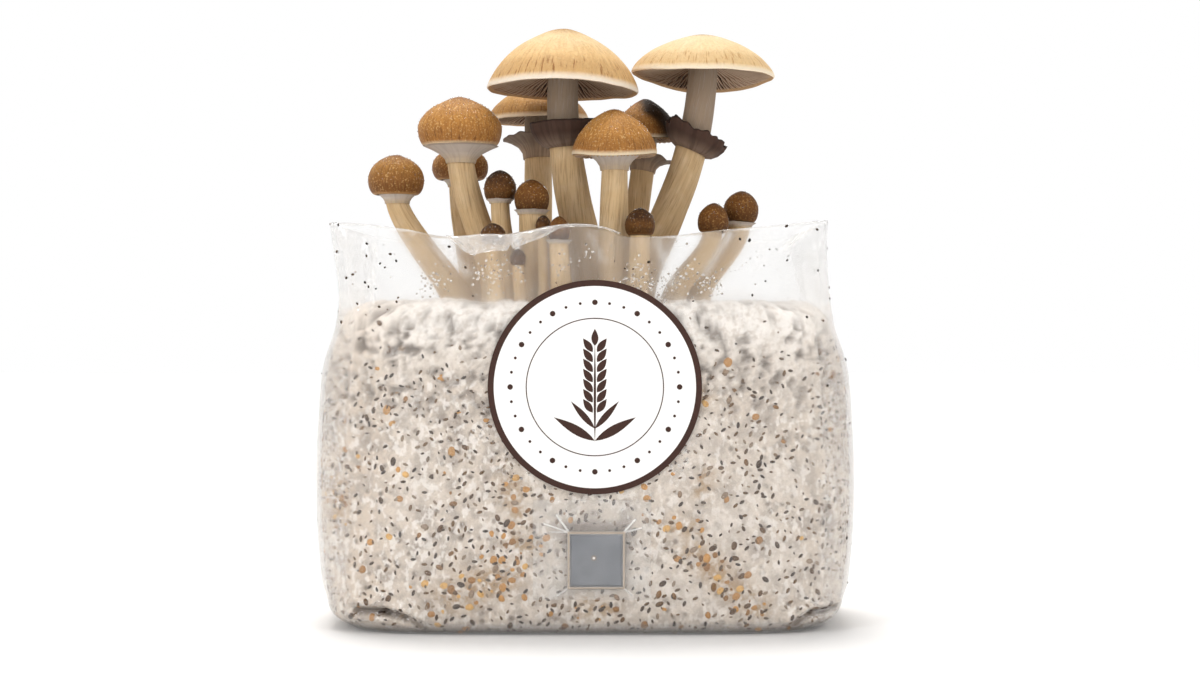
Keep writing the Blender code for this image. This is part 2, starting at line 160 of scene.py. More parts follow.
# ---- sizes of the mushrooms ------------------------------------------------------------------
# Each mushroom, in millimetres: its number, the stem's foot, the stem's radius at foot and top,
# the cap's form, its lean to the right in degrees, the shares of the stem's length over which the
# foot stays upright and the crown stays square to the cap, and the skin of the cap.
Mushroom = namedtuple(
    "Mushroom", "number foot foot_radius top_radius form lean foot_hold crown_hold skin")
MUSHROOMS = (
    Mushroom(1, (-55.5, -16), 6.5, 4.6, "bud", 0, 0.15, 0.25, "brown"),
    Mushroom(2, (-38, -14), 6.5, 5.7, "bell", 0, 0.3, 0.34, "amber"),
    Mushroom(3, (-50, 12), 5.6, 5, "bud", 0, 0.3, 0.34, "brown"),
    Mushroom(4, (-32, -26), 4.8, 4, "bud", 0, 0.3, 0.34, "dark"),
    Mushroom(5, (-21, -31), 6.2, 5.5, "bud", 0, 0.3, 0.34, "umber"),
    Mushroom(6, (3, -8), 8.8, 6.6, "open", 2, 0.2, 0.5, "golden"),
    Mushroom(7, (-22, 36), 7, 6, "open", -1, 0.3, 0.34, "tawny"),
    Mushroom(8, (12, -31), 7.2, 5.2, "dome", 0, 0.3, 0.34, "amber"),
    Mushroom(9, (19, 16), 5.8, 5, "dome", 0, 0.3, 0.2, "amber"),
    Mushroom(10, (21, -4), 8.6, 6.3, "open", 1, 0.15, 0.5, "pale"),
    Mushroom(11, (22, -42), 4.6, 4.2, "bud", 0, 0.3, 0.34, "dark"),
    Mushroom(12, (38, -24), 5, 4.2, "bud", 4, 0.3, 0.34, "umber"),
    Mushroom(13, (49, -12), 5.2, 4.6, "bud", 4, 0.3, 0.34, "umber"),
    Mushroom(14, (-37, -45), 3.6, 3.2, "bud", 0, 0.3, 0.34, "dark"),
    Mushroom(15, (-17, -43), 2.5, 2.2, "bud", 0, 0.3, 0.34, "dark"),
    Mushroom(16, (-9.5, -48), 4.4, 3.9, "bud", 0, 0.3, 0.34, "umber"),
    Mushroom(17, (-27, -46), 2.6, 2.3, "bud", 0, 0.3, 0.34, "dark"),
)

# How far the margin of an open or domed cap hangs below its plane, in millimetres: mushroom's
# number, then the left, right, front and back.
Droop = namedtuple("Droop", "left right front back")
DROOPS = {
    6: Droop(1.9, 2.2, 0.5, 1.8),
    8: Droop(2.2, 1.8, 4.2, 2.0),
    9: Droop(0.5, 0.5, 1.0, 0.5),
    10: Droop(0.0, 1.5, 1.8, 4.3),
}

# How each form of cap is drawn, as shares of its radius or height: how high its widest line
# lies, its margin's radius, the dome's exponent, the underside's hollow, the point at its top
# and how wavy its margin is.
CapForm = namedtuple("CapForm", "widest margin rise hollow point wave")
CAP_FORMS = {
    "open": CapForm(0.0, 1.0, 0.68, 0.26, 0.09, 0.026),
    "dome": CapForm(0.06, 0.97, 0.60, 0.12, 0.10, 0.014),
    "bell": CapForm(0.38, 0.80, 0.60, 0.0, 0.10, 0.006),
    "bud": CapForm(0.38, 0.72, 0.52, 0.0, 0.05, 0.004),
}
MARGIN_DROP = 0.56         # mm that an open cap's lip hangs below its margin plane

# Each ring: its mushroom's number, its kind, how ragged its edge is, how deep its pleats are in
# millimetres, how much of its length its right side hangs below its left, and how much wider
# than its solid it is drawn.
RingLook = namedtuple("RingLook", "number kind ragged pleat sag spread", defaults=(1.0,))
RINGS = (
    RingLook(1, "veil", 0.10, 0.10, 0), RingLook(2, "veil", 0.02, 0.06, 0, 1.2),
    RingLook(3, "veil", 0.08, 0.10, 0), RingLook(4, "veil", 0.12, 0.10, 0),
    RingLook(5, "veil", 0.08, 0.10, 0), RingLook(6, "dark", 0.035, 0.06, 0.05),
    RingLook(7, "grey", 0.13, 0.30, -0.2), RingLook(8, "veil", 0.04, 0.16, 0),
    RingLook(9, "grey", 0.13, 0.30, 0.2), RingLook(10, "dark", 0.30, 0.8, 0.75),
    RingLook(13, "veil", 0.10, 0.10, 0), RingLook(16, "veil", 0.12, 0.10, 0),
)

SKINS = {
    # name: tip, crown, flank, streak, margin, painted glint, and how strongly the felt shows
    "golden": ("#A56F32", "#F6D8A5", "#E7BD81", "#8A582A", "#ECE0D0", "#F7DDA9", 0.17),
    "tawny": ("#7C4C22", "#D9AC70", "#C08F4D", "#6F431F", "#E0CDB2", "#EFCD95", 0.28),
    "pale": ("#94704C", "#F9E2B6", "#EFCF9A", "#B48650", "#EFE0C8", "#FAE6BC", 0.15),
    "amber": ("#865223", "#C99250", "#B27B3C", "#63391A", "#DCCBAE", "#F0C888", 0.36),
    "brown": ("#845324", "#AB793B", "#86582A", "#4E2D13", "#A98253", "#E3B878", 0.38),
    "umber": ("#4C2B0E", "#75491B", "#633D14", "#331B09", "#7C5A36", "#C79A5E", 0.3),
    "dark": ("#190D05", "#3F240E", "#6B4317", "#150A04", "#6E4E2E", "#A37B4A", 0.3),
}


# ---- settings a user would change ------------------------------------------------------------


def linear(hex_colour):
    """An sRGB hex colour as linear red, green and blue."""
    channels = [int(hex_colour[i:i + 2], 16) / 255 for i in (1, 3, 5)]
    return tuple(c / 12.92 if c <= 0.04045 else ((c + 0.055) / 1.055) ** 2.4 for c in channels)


class GrowBagFilm(bpy.types.PropertyGroup):
    """Sizes and colours of the clear film, the label and the port."""
    thickness: bpy.props.FloatProperty(
        name="Film Thickness", description="Wall of the film, drawn thicker than the real one",
        default=0.25 * MM, min=0.05 * MM, max=0.5 * MM, unit="LENGTH")
    haze: bpy.props.FloatProperty(
        name="Haze", description="Share of each film face that scatters light as white",
        default=0.02, min=0.0, max=1.0, subtype="FACTOR")
    droplet_density: bpy.props.FloatProperty(
        name="Droplets", description="Condensation beads on a square metre at their thickest",
        default=900000, min=0)
    speck_density: bpy.props.FloatProperty(
        name="Specks", description="Dirt specks on a square metre of free film",
        default=7000, min=0)
    label_radius: bpy.props.FloatProperty(
        name="Label Radius", description="Half the round label's width",
        default=44 * MM, unit="LENGTH")
    label_paper: bpy.props.FloatVectorProperty(
        name="Label Paper", description="Coated paper of the label", subtype="COLOR",
        default=linear("#F7F5F3"), min=0, max=1)
    label_ink: bpy.props.FloatVectorProperty(
        name="Label Ink", description="Brown ink of the label's border and ornament",
        subtype="COLOR", default=linear("#38221B"), min=0, max=1)
    port_rubber: bpy.props.FloatVectorProperty(
        name="Port Rubber", description="Silicone of the injection port", subtype="COLOR",
        default=linear("#6A6D73"), min=0, max=1)


class GrowBagBlock(bpy.types.PropertyGroup):
    """Sizes and colours of the block of grain and mycelium."""
    inset: bpy.props.FloatProperty(
        name="Inset", description="From the film's outer face to the mycelium behind it",
        default=0.8 * MM, min=0.4 * MM, unit="LENGTH")
    lump_size: bpy.props.FloatProperty(
        name="Lump Size", description="Width of the cottony lumps near the top",
        default=10 * MM, unit="LENGTH")
    lump_depth: bpy.props.FloatProperty(
        name="Lump Depth", description="Depth of the hollows between the lumps",
        default=3.4 * MM, unit="LENGTH")
    seed_density: bpy.props.FloatProperty(
        name="Millet", description="Dark seeds on a square metre of the block's sides",
        default=200000, min=0)
    grain_density: bpy.props.FloatProperty(
        name="Golden Grain", description="Golden grains on a square metre at their thickest",
        default=34000, min=0)
    mycelium: bpy.props.FloatVectorProperty(
        name="Mycelium", description="Fluffy mycelium", subtype="COLOR",
        default=linear("#E7DFD6"), min=0, max=1)
    wet_mycelium: bpy.props.FloatVectorProperty(
        name="Wet Mycelium", description="Thin, wet mycelium over grain", subtype="COLOR",
        default=linear("#A99D92"), min=0, max=1)
    grain: bpy.props.FloatVectorProperty(
        name="Grain", description="Golden sorghum grains", subtype="COLOR",
        default=linear("#BD8841"), min=0, max=1)
    seed: bpy.props.FloatVectorProperty(
        name="Seed Hull", description="Dark millet hulls", subtype="COLOR",
        default=linear("#43301F"), min=0, max=1)


class GrowBagMushrooms(bpy.types.PropertyGroup):
    """Sizes and colours of the mushrooms."""
    gill_pitch: bpy.props.FloatProperty(
        name="Gill Pitch",
        description="Spacing of the full gills along a margin, drawn coarser than real ones",
        default=3.4 * MM, min=0.5 * MM, unit="LENGTH")
    gill_depth: bpy.props.FloatProperty(
        name="Gill Depth", description="How far a gill hangs below the cap's flesh",
        default=2.6 * MM, unit="LENGTH")
    fibre_pitch: bpy.props.FloatProperty(
        name="Fibre Pitch", description="Spacing of the fibres round a stem",
        default=1.3 * MM, min=0.3 * MM, unit="LENGTH")
    gills: bpy.props.FloatVectorProperty(
        name="Gills", description="Spore-darkened gills", subtype="COLOR",
        default=linear("#86664F"), min=0, max=1)
    stem: bpy.props.FloatVectorProperty(
        name="Stem", description="Fibrous flesh of the stems", subtype="COLOR",
        default=linear("#CBAD83"), min=0, max=1)
    stem_top: bpy.props.FloatVectorProperty(
        name="Stem Top", description="Greyed stem above the ring", subtype="COLOR",
        default=linear("#887768"), min=0, max=1)


# ---- numbers ---------------------------------------------------------------------------------

def ease(value, start, end):
    """0 before start and 1 after end, with a smooth step between; works either way round."""
    share = np.clip((value - start) / (end - start), 0.0, 1.0)
    return share * share * (3 - 2 * share)


def smooth_curve(at, xs, ys):
    """A smooth line through the points, read at the places at."""
    xs = np.asarray(xs, float)
    ys = np.asarray(ys, float)
    at = np.clip(at, xs[0], xs[-1])
    slope = np.gradient(ys, xs)
    i = np.clip(np.searchsorted(xs, at, side="right") - 1, 0, len(xs) - 2)
    width = xs[i + 1] - xs[i]
    t = (at - xs[i]) / width
    return ((1 + 2 * t) * (1 - t) ** 2 * ys[i] + t * (1 - t) ** 2 * width * slope[i]
            + t * t * (3 - 2 * t) * ys[i + 1] + t * t * (t - 1) * width * slope[i + 1])


def soft_noise(points, size, seed=0):
    """Smooth noise from about -1 to 1 at each point, its lumps about size across."""
    place = np.asarray(points, float) / size + 31.7 + 7.3 * seed
    cell = np.floor(place).astype(np.int64)
    part = place - cell
    fade = part ** 3 * (part * (6 * part - 15) + 10)
    total = np.zeros(place.shape[:-1])
    for corner in product((0, 1), repeat=3):
        at = cell + np.array(corner)
        mixed = at[..., 0] * 73856093 ^ at[..., 1] * 19349663 ^ at[..., 2] * 83492791
        mixed = (mixed + seed * 97531) * 1274126177 & 0x7FFFFFFF
        mixed = (mixed ^ mixed >> 15) * 668265263 & 0x7FFFFFFF
        tilt = np.stack([mixed & 1023, mixed >> 10 & 1023, mixed >> 20 & 1023], -1) / 511.5 - 1
        weight = np.prod(np.where(np.array(corner) == 1, fade, 1 - fade), axis=-1)
        total += weight * ((part - np.array(corner)) * tilt).sum(-1)
    return 1.6 * total


def rough_noise(points, size, seed=0, octaves=3):
    """Soft noise with finer noise on it."""
    return sum(soft_noise(points, size / 2 ** k, seed + k) / 1.8 ** k for k in range(octaves))


def creased(x, z, creases):
    """How far the creases lift a surface at places across and up it, all in millimetres."""
    lift = np.zeros(np.broadcast(x, z).shape)
    for c in creases:
        run = np.array([c.x1 - c.x0, c.z1 - c.z0], float)
        length = np.linalg.norm(run)
        run /= length
        along = (x - c.x0) * run[0] + (z - c.z0) * run[1]
        across = (x - c.x0) * run[1] - (z - c.z0) * run[0]
        past = np.maximum(0, np.maximum(-along, along - length))
        lift += c.height * np.exp(-(across ** 2 + past ** 2) / c.width ** 2)
    return lift


# ---- the bag's shape, in millimetres ---------------------------------------------------------

def square_walk(turn):
    """Places round a square: turn runs from 0 to 4 over front, right, back and left."""
    side = np.floor(turn).astype(int) % 4
    along = 2 * (turn - np.floor(turn)) - 1
    p = np.select([side == 0, side == 1, side == 2], [along, 1.0, -along], -1.0)
    q = np.select([side == 0, side == 1, side == 2], [-1.0, along, 1.0], -along)
    return p, q


def rim_height(x, q):
    """Height of the cut edge: drawn along the front, and dipping gently along the back."""
    front = smooth_curve(x, *zip(*FRONT_RIM))
    back = 167.0 + 4.5 * (x / 104) ** 4 + 0.7 * np.sin(x / 9.0)
    gusset_dip = 2.0 * (1 - q * q) * (np.abs(x) > 60)
    return front + (back - front) * ease(q, -1, 1) - gusset_dip


def bag_skin(turn, height):
    """Points on the film's outer face, and p and q of the square they were pulled from."""
    heights, *columns = zip(*SECTIONS)
    half_width, half_depth, squareness, fold, bow = [
        smooth_curve(height, heights, column) for column in columns]
    p, q = square_walk(turn)
    pull = (np.abs(p) ** squareness + np.abs(q) ** squareness) ** (-1.0 / squareness)
    soft_q = np.sqrt(q * q + 0.0016)
    inward = fold * np.maximum(0.0, 1 - soft_q / GUSSET_REACH)
    on_side = np.abs(p) >= 1
    x = half_width * p * pull - np.where(on_side, np.sign(p) * inward, 0.0)
    y = half_depth * q * pull + np.where(on_side, 0.0, np.sign(q) * bow * (1 - p * p))
    free = np.maximum(0.0, (height - SHOULDER) / (RIM_CORNER - SHOULDER))
    z = np.where(height > SHOULDER, SHOULDER + free * (rim_height(x, q) - SHOULDER), height)
    return np.stack([x, y, z * np.ones_like(x)], -1), p, q


def outward(grid):
    """Unit normals of a grid of points whose columns run round the bag and rows run up it."""
    wrapped = np.concatenate([grid[:, -2:], grid, grid[:, :2]], axis=1)
    round_it = np.gradient(wrapped, axis=1)[:, 2:-2]
    up_it = np.gradient(grid, axis=0)
    normal = np.cross(round_it, up_it)
    return normal / np.maximum(np.linalg.norm(normal, axis=-1, keepdims=True), 1e-9)


def front_depth(x, z):
    """Y of the film's front at places across and up it, in millimetres."""
    heights, *columns = zip(*SECTIONS)
    half_width, half_depth, squareness, _, bow = [
        smooth_curve(z, heights, column) for column in columns]
    across = np.minimum(np.abs(x) / half_width, 0.999)
    depth = half_depth * (1 - across ** squareness) ** (1 / squareness)
    return -(depth + bow * (1 - across * across))


def angles_round(count):
    """Angles of places spaced evenly round a circle, as one row."""
    return np.linspace(0, 2 * math.pi, count, endpoint=False)[None, :]


def points_round(angle, reach=1.0, up=0.0):
    """Points round an axis from their angles, their distances from it and their heights."""
    return np.stack([np.cos(angle) * reach, np.sin(angle) * reach, up + 0 * angle], -1)


def in_frame(points):
    """Millimetres about the bag's axis to metres in the frame."""
    return np.asarray(points, float) * MM + np.array([0.0, BAG_AXIS_Y, 0.0])


# ---- meshes ----------------------------------------------------------------------------------

def make_mesh(name, points, faces, materials, face_materials=None):
    """A smooth-shaded mesh with these materials, and one material's number for each face."""
    mesh = bpy.data.meshes.new(name)
    mesh.from_pydata(points.tolist(), [], faces)
    for material in materials:
        mesh.materials.append(material)
    if face_materials is not None:
        mesh.polygons.foreach_set("material_index", face_materials)
    mesh.shade_smooth()
    return mesh


def add_values(mesh, name, values):
    """Store one number, or one vector, for each vertex."""
    values = np.asarray(values, np.float32)
    kind, field = ("FLOAT", "value") if values.ndim == 1 else ("FLOAT_VECTOR", "vector")
    attribute = mesh.attributes.new(name, kind, "POINT")
    attribute.data.foreach_set(field, values.ravel())


def drawn(name, form):
    """A finished bmesh as a mesh."""
    mesh = bpy.data.meshes.new(name)
    form.to_mesh(mesh)
    form.free()
    return mesh


def add_object(name, data):
    """A new object of the scene."""
    thing = bpy.data.objects.new(name, data)
    bpy.context.scene.collection.objects.link(thing)
    return thing


def closed_grid(rows, columns):
    """Quads of a grid of rows that each close on themselves."""
    faces = []
    for a in range(0, (rows - 1) * columns, columns):
        for j in range(columns):
            k = (j + 1) % columns
            faces.append((a + j, a + k, a + columns + k, a + columns + j))
    return faces


def fan(ring, centre, upwards):
    """Triangles from a closed ring of vertices to a centre vertex."""
    count = len(ring)
    pairs = [(ring[j], ring[(j + 1) % count]) for j in range(count)]
    return [(a, b, centre) if upwards else (b, a, centre) for a, b in pairs]


def settle(thing):
    """Turn an object's modifiers into a plain mesh."""
    graph = bpy.context.evaluated_depsgraph_get()
    mesh = bpy.data.meshes.new_from_object(thing.evaluated_get(graph))
    mesh.name = thing.name
    thing.modifiers.clear()
    old = thing.data
    thing.data = mesh
    bpy.data.meshes.remove(old)
    return thing


def thicken(thing, thickness, side):
    """Give a sheet a wall: inwards of its faces where side is -1, outwards where it is 1."""
    wall = thing.modifiers.new("wall", "SOLIDIFY")
    wall.thickness = thickness
    wall.offset = side
    return settle(thing)


def hand_over(thing, slot, *nodes):
    """Make a finished piece ride on the body and stand for its CAD nodes."""
    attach(thing, BODY)
    if nodes:
        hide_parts(*nodes)
    return thing


# ---- materials -------------------------------------------------------------------------------

def add_node(tree, kind, inputs=None, **settings):
    """Add a node. Each input is given a value, or a socket to link to."""
    node = tree.nodes.new(kind)
    for name, value in settings.items():
        setattr(node, name, value)
    for key, value in (inputs or {}).items():
        socket = node.inputs[key]
        if isinstance(value, bpy.types.NodeSocket):
            tree.links.new(value, socket)
        elif socket.type == "RGBA" and len(value) == 3:
            socket.default_value = (*value, 1.0)
        else:
            socket.default_value = value
    return node


def start_material(name, **inputs):
    """A new material with one Principled node: its tree, that node, and the object coordinates
    that its patterns are laid on."""
    material = bpy.data.materials.new(name)
    material.use_nodes = True
    tree = material.node_tree
    tree.nodes.clear()
    named = {key.replace("_", " ").title().replace("Ior", "IOR"): value
             for key, value in inputs.items()}
    shader = add_node(tree, "ShaderNodeBsdfPrincipled", named)
    add_node(tree, "ShaderNodeOutputMaterial", {"Surface": shader.outputs[0]})
    return material, tree, shader, add_node(tree, "ShaderNodeTexCoord").outputs["Object"]


def blotches(tree, place, size, low, high, detail=3.0, stretch=(1, 1, 1), shift=0.0):
    """A mask of soft blotches about size metres across: 0 up to low and 1 from high. The place
    is a socket, or the name of a stored vector."""
    if isinstance(place, str):
        place = add_node(tree, "ShaderNodeAttribute", attribute_name=place).outputs["Vector"]
    moved = add_node(tree, "ShaderNodeMapping",
                     {"Vector": place, "Scale": stretch, "Location": (shift, shift, shift)})
    cloud = add_node(tree, "ShaderNodeTexNoise", {
        "Vector": moved.outputs[0], "Scale": 1 / size, "Detail": detail, "Roughness": 0.55})
    return masked(tree, (cloud.outputs[0], low, high))


def masked(tree, *masks):
    """Masks multiplied together. Each is a socket, a number, the name of a stored value, or one
    of these with the places at which it is 0 and 1, either way round."""
    product_of_all = None
    for mask in masks:
        value, low, high = mask if isinstance(mask, tuple) else (mask, None, None)
        if isinstance(value, str):
            value = add_node(tree, "ShaderNodeAttribute", attribute_name=value).outputs["Fac"]
        if low is not None:
            rises = low < high
            value = add_node(tree, "ShaderNodeMapRange", {
                "Value": value, "From Min": min(low, high), "From Max": max(low, high),
                "To Min": 0.0 if rises else 1.0, "To Max": 1.0 if rises else 0.0},
                interpolation_type="SMOOTHSTEP").outputs[0]
        if product_of_all is not None:
            value = add_node(tree, "ShaderNodeMath", {0: product_of_all, 1: value},
                             operation="MULTIPLY").outputs[0]
        product_of_all = value
    return product_of_all


def paint(tree, socket, base, *layers):
    """Feed a socket a colour with layers over it, each an sRGB hex colour or a linear one and
    its masks."""
    colour = linear(base) if isinstance(base, str) else tuple(base)
    for over, *masks in layers:
        over = linear(over) if isinstance(over, str) else tuple(over)
        colour = add_node(tree, "ShaderNodeMix",
                          {0: masked(tree, *masks), 6: colour, 7: over},
                          data_type="RGBA").outputs[2]
    tree.links.new(colour, socket)


def let_lamps_through(material, tree, surface, tint):
    """Swap in a Transparent shader for lamp rays, so that what is inside is lit."""
    ray = add_node(tree, "ShaderNodeLightPath")
    clear = add_node(tree, "ShaderNodeBsdfTransparent", {"Color": linear(tint)})
    split = add_node(tree, "ShaderNodeMixShader",
                     {0: ray.outputs["Is Shadow Ray"], 1: surface, 2: clear.outputs[0]})
    out = next(n for n in tree.nodes if n.type == "OUTPUT_MATERIAL")
    tree.links.new(split.outputs[0], out.inputs["Surface"])
    return material


def film_material(name, sharp, haze):
    """Clear polypropylene film: a share of it shows what is behind it sharply, the rest blurs
    it as misted film does, and a little scatters white, most along folds, where the white is
    partly stress whitening and partly a painted highlight."""
    material, tree, glass, place = start_material(
        name, base_color=linear("#FFFFFF"), roughness=0.26, ior=1.45,
        transmission_weight=1.0, coat_weight=0.6, coat_roughness=0.06)
    white = add_node(tree, "ShaderNodeBsdfPrincipled", {
        "Roughness": 0.3, "Coat Weight": 0.5, "Coat Roughness": 0.08})
    paint(tree, white.inputs["Base Color"], "#F6F4F1", ("#C2B09C", "tented"))
    clear = add_node(tree, "ShaderNodeBsdfTransparent", {"Color": linear("#FEFEFE")})
    see = add_node(tree, "ShaderNodeMixShader",
                   {0: 1 - sharp, 1: clear.outputs[0], 2: glass.outputs[0]})
    mist = masked(tree, "mist")
    cloud = blotches(tree, place, 14 * MM, 0.3, 0.75)
    veil = add_node(tree, "ShaderNodeMath", {0: cloud, 1: haze, 2: mist},
                    operation="MULTIPLY_ADD")
    body = add_node(tree, "ShaderNodeMixShader",
                    {0: veil.outputs[0], 1: see.outputs[0], 2: white.outputs[0]})
    return let_lamps_through(material, tree, body.outputs[0], "#F4F3F2")


def water_material(name):
    """Condensed water: clear, with the bright and dark rims of a small lens; some beads are
    greyed, a painted shade for the dark look such a lens gets.
    """
    material, tree, water, _ = start_material(
        name, roughness=0.02, ior=1.333, transmission_weight=0.9)
    # painted shade: some beads greyed
    paint(tree, water.inputs["Base Color"], "#FFFFFF", ("#CFC8C1", ("tone", 0.5, 0.8)))
    return let_lamps_through(material, tree, water.outputs[0], "#FFFFFF")


def dirt_material():
    """Bits of hull and spore dust stuck to the film: matte and nearly black."""
    material, tree, shader, place = start_material("hull_dust", roughness=0.85)
    paint(tree, shader.inputs["Base Color"], "#231A13",
          ("#5A4531", blotches(tree, place, 3 * MM, 0.45, 0.6)))
    return material


def mycelium_material(block):
    """Mycelium grown over wet grain: matte white cotton where it is thick, grey and translucent
    where it is thin, and stained by the grain's juice in places. Shade is painted on it in the
    hollows between lumps, round the port, under the bottom corners' tucks and along its foot."""
    material, tree, shader, place = start_material(
        "mycelium_on_grain", roughness=0.88, subsurface_weight=0.12, subsurface_scale=0.0015,
        subsurface_radius=(1.0, 0.85, 0.7))
    cloud = blotches(tree, place, 7 * MM, 0.44, 0.64, detail=6)
    speckle = blotches(tree, place, 2.2 * MM, 0.46, 0.66, detail=6, shift=3.0)
    fluff = blotches(tree, place, 0.9 * MM, 0.45, 0.7, detail=4, shift=7.0)
    wisps = blotches(tree, place, 2.6 * MM, 0.5, 0.6, detail=7, stretch=(1, 1, 0.7), shift=9.0)
    spots = add_node(tree, "ShaderNodeTexVoronoi", {"Vector": place, "Scale": 1 / (4.2 * MM)})
    veiled = blotches(tree, place, 8 * MM, 0.45, 0.6, shift=6.0)
    juice = blotches(tree, place, 3.4 * MM, 0.39, 0.58, detail=5, shift=11.0)
    paint(
        tree, shader.inputs["Base Color"], block.mycelium,
        ("#F6F2ED", "fluffy", 0.85),
        ("#C4B4A2", "thin", 0.6),
        ("#CBB69F", "side", 0.62),
        ("#C6B9AC", speckle, 0.55),
        ("#AFA297", fluff, "thin", 0.45),
        (block.wet_mycelium, cloud, "thin", 0.86),
        ("#74675C", (spots.outputs["Distance"], 0.45, 0.1), veiled, "thin", 0.9),
        ("#F3EEE8", wisps, "thin", 0.62),
        # painted shade in the hollows between lumps
        ("#857A71", "hollow", 0.85),
        ("#A08159", "gold", juice, 0.82),
        # painted shade round the port, under the bottom corners' tucks and along the foot
        ("#6A5A4D", "smudge", 0.85),
        # painted shade along the foot, darkest at the floor
        ("#33261D", "damp", 0.95),
    )
    cotton = add_node(tree, "ShaderNodeTexNoise", {
        "Vector": place, "Scale": 1 / (1.1 * MM), "Detail": 6.0, "Roughness": 0.7})
    bump = add_node(tree, "ShaderNodeBump", {
        "Height": cotton.outputs[0], "Distance": 0.5 * MM, "Strength": 0.8})
    tree.links.new(bump.outputs[0], shader.inputs["Normal"])
    return material


def grain_material(name, shades, roughness):
    """Grains and seed hulls: smooth, slightly glossy skins, each its own shade, some still
    veiled by a skin of mycelium."""
    material, tree, shader, place = start_material(
        name, roughness=roughness, specular_ior_level=0.3)
    paint(
        tree, shader.inputs["Base Color"], shades[0],
        (shades[1], ("tone", 0.25, 0.45)),
        (shades[2], ("tone", 0.55, 0.65)),
        (shades[3], ("tone", 0.74, 0.86)),
        (shades[0], blotches(tree, place, 1.6 * MM, 0.52, 0.7), 0.5),
    )
    return material


def cap_skin_material(name, shades):
    """The dry skin of a mushroom cap: satin, felted with fine fibres that run from the tip to
    the margin and speckled with painted glints, darkest at the tip, streaked above a pale margin."""
    tip, crown, flank, streak, margin, painted_glint, felt = shades
    material, tree, shader, place = start_material(
        f"{name}_cap_skin", roughness=0.55, subsurface_weight=0.05, subsurface_scale=0.002,
        subsurface_radius=(1.0, 0.5, 0.25), specular_ior_level=0.17)
    fibres = blotches(tree, "turned", 0.05, 0.4, 0.68, detail=5, stretch=(1, 1, 0.35))
    streaks = blotches(tree, "turned", 0.035, 0.55, 0.68, detail=3, stretch=(1, 1, 0.2),
                       shift=5.0)
    grain = blotches(tree, place, 1.1 * MM, 0.45, 0.7, detail=4)
    glint_specks = blotches(tree, place, 0.8 * MM, 0.56, 0.66, detail=2, shift=2.0)
    cloud = blotches(tree, place, 11 * MM, 0.4, 0.68)
    band = masked(tree, ("span", 0.66, 0.84), ("span", 0.97, 0.9))
    paint(
        tree, shader.inputs["Base Color"], crown,
        (flank, ("span", 0.35, 0.8), 0.9),
        (flank, cloud, 0.5),
        (tip, ("span", 0.34, 0.02), 0.8),
        (streak, fibres, felt),
        (tip, grain, felt),
        # painted glints: pale specks over the felt
        (painted_glint, glint_specks, 1.3 * felt),
        (streak, band, 0.3),
        (streak, streaks, band, 0.8),
        (margin, ("span", 0.905, 0.98), 0.9),
        ("#21160F", "stain"),
    )
    rise = add_node(tree, "ShaderNodeMath", {0: fibres, 1: grain}, operation="ADD")
    bump = add_node(tree, "ShaderNodeBump", {
        "Height": rise.outputs[0], "Distance": 0.14 * MM, "Strength": 0.7})
    tree.links.new(bump.outputs[0], shader.inputs["Normal"])
    return material


def gill_material(colour):
    """Gills and the underside they hang from: matte, dusted purple-brown by spores, with paler
    edges, and painted shade in the gaps between them that makes the gills stand out."""
    material, tree, shader, place = start_material(
        "cap_gills", roughness=0.9, specular_ior_level=0.2)
    paint(
        tree, shader.inputs["Base Color"], colour,
        ("#97806F", blotches(tree, place, 6 * MM, 0.4, 0.7), 0.5),
        ("#B09885", ("span", 0.8, 1.0), 0.5),
        ("#4C3730", ("span", 0.5, 0.2), 0.6),
        # painted shade on the underside and up the gills' roots, in the gaps between them
        ("#2B1B14", ("edge", 0.45, -0.3), 0.95),
        ("#CDB49C", ("edge", 0.5, 1.0), 0.85),
        ("#BE9A72", ("span", 0.9, 0.97), 0.85),
    )
    return material


def stem_material(mushrooms):
    """Stem flesh: matte tan fibres that run lengthwise, greyed above the ring, with a paler,
    downy foot."""
    material, tree, shader, place = start_material(
        "stem_flesh", roughness=0.75, subsurface_weight=0.1, subsurface_scale=0.002,
        subsurface_radius=(1.0, 0.6, 0.35), specular_ior_level=0.25)
    coarse = blotches(tree, "wound", 0.16, 0.45, 0.68, detail=3, stretch=(1, 1, 0.05))
    fine = blotches(tree, "wound", 0.06, 0.5, 0.7, detail=3, stretch=(1, 1, 0.06), shift=4.0)
    paint(
        tree, shader.inputs["Base Color"], mushrooms.stem,
        ("#D6BE9B", blotches(tree, place, 10 * MM, 0.42, 0.68), 0.5),
        ("#AA8B63", coarse, 0.4),
        ("#8F6D47", fine, 0.5),
        (mushrooms.stem_top, "above_ring", 0.85),
        ("#B8ABA2", fine, "above_ring", 0.4),
        ("#D9CDBB", "foot", 0.5),
    )
    rise = add_node(tree, "ShaderNodeMath", {0: coarse, 1: fine}, operation="ADD")
    bump = add_node(tree, "ShaderNodeBump", {
        "Height": rise.outputs[0], "Distance": 0.2 * MM, "Strength": 0.6})
    tree.links.new(bump.outputs[0], shader.inputs["Normal"])
    return material


def ring_material(name, collar, skirt, edge):
    """Torn veil: thin, matte, pleated tissue, darkest along the torn edge where spores lie."""
    material, tree, shader, _ = start_material(
        f"{name}_ring_tissue", roughness=0.85, subsurface_weight=0.05, subsurface_scale=0.001,
        specular_ior_level=0.2)
    pleats = blotches(tree, "turned", 0.15, 0.42, 0.66, detail=4, stretch=(1, 1, 0.12))
    paint(
        tree, shader.inputs["Base Color"], collar,
        (skirt, ("span", 0.1, 0.6)),
        (edge, pleats, 0.4),
        (edge, ("span", 0.88, 0.98)),
    )
    bump = add_node(tree, "ShaderNodeBump", {
        "Height": pleats, "Distance": 0.12 * MM, "Strength": 0.5})
    tree.links.new(bump.outputs[0], shader.inputs["Normal"])
    return material


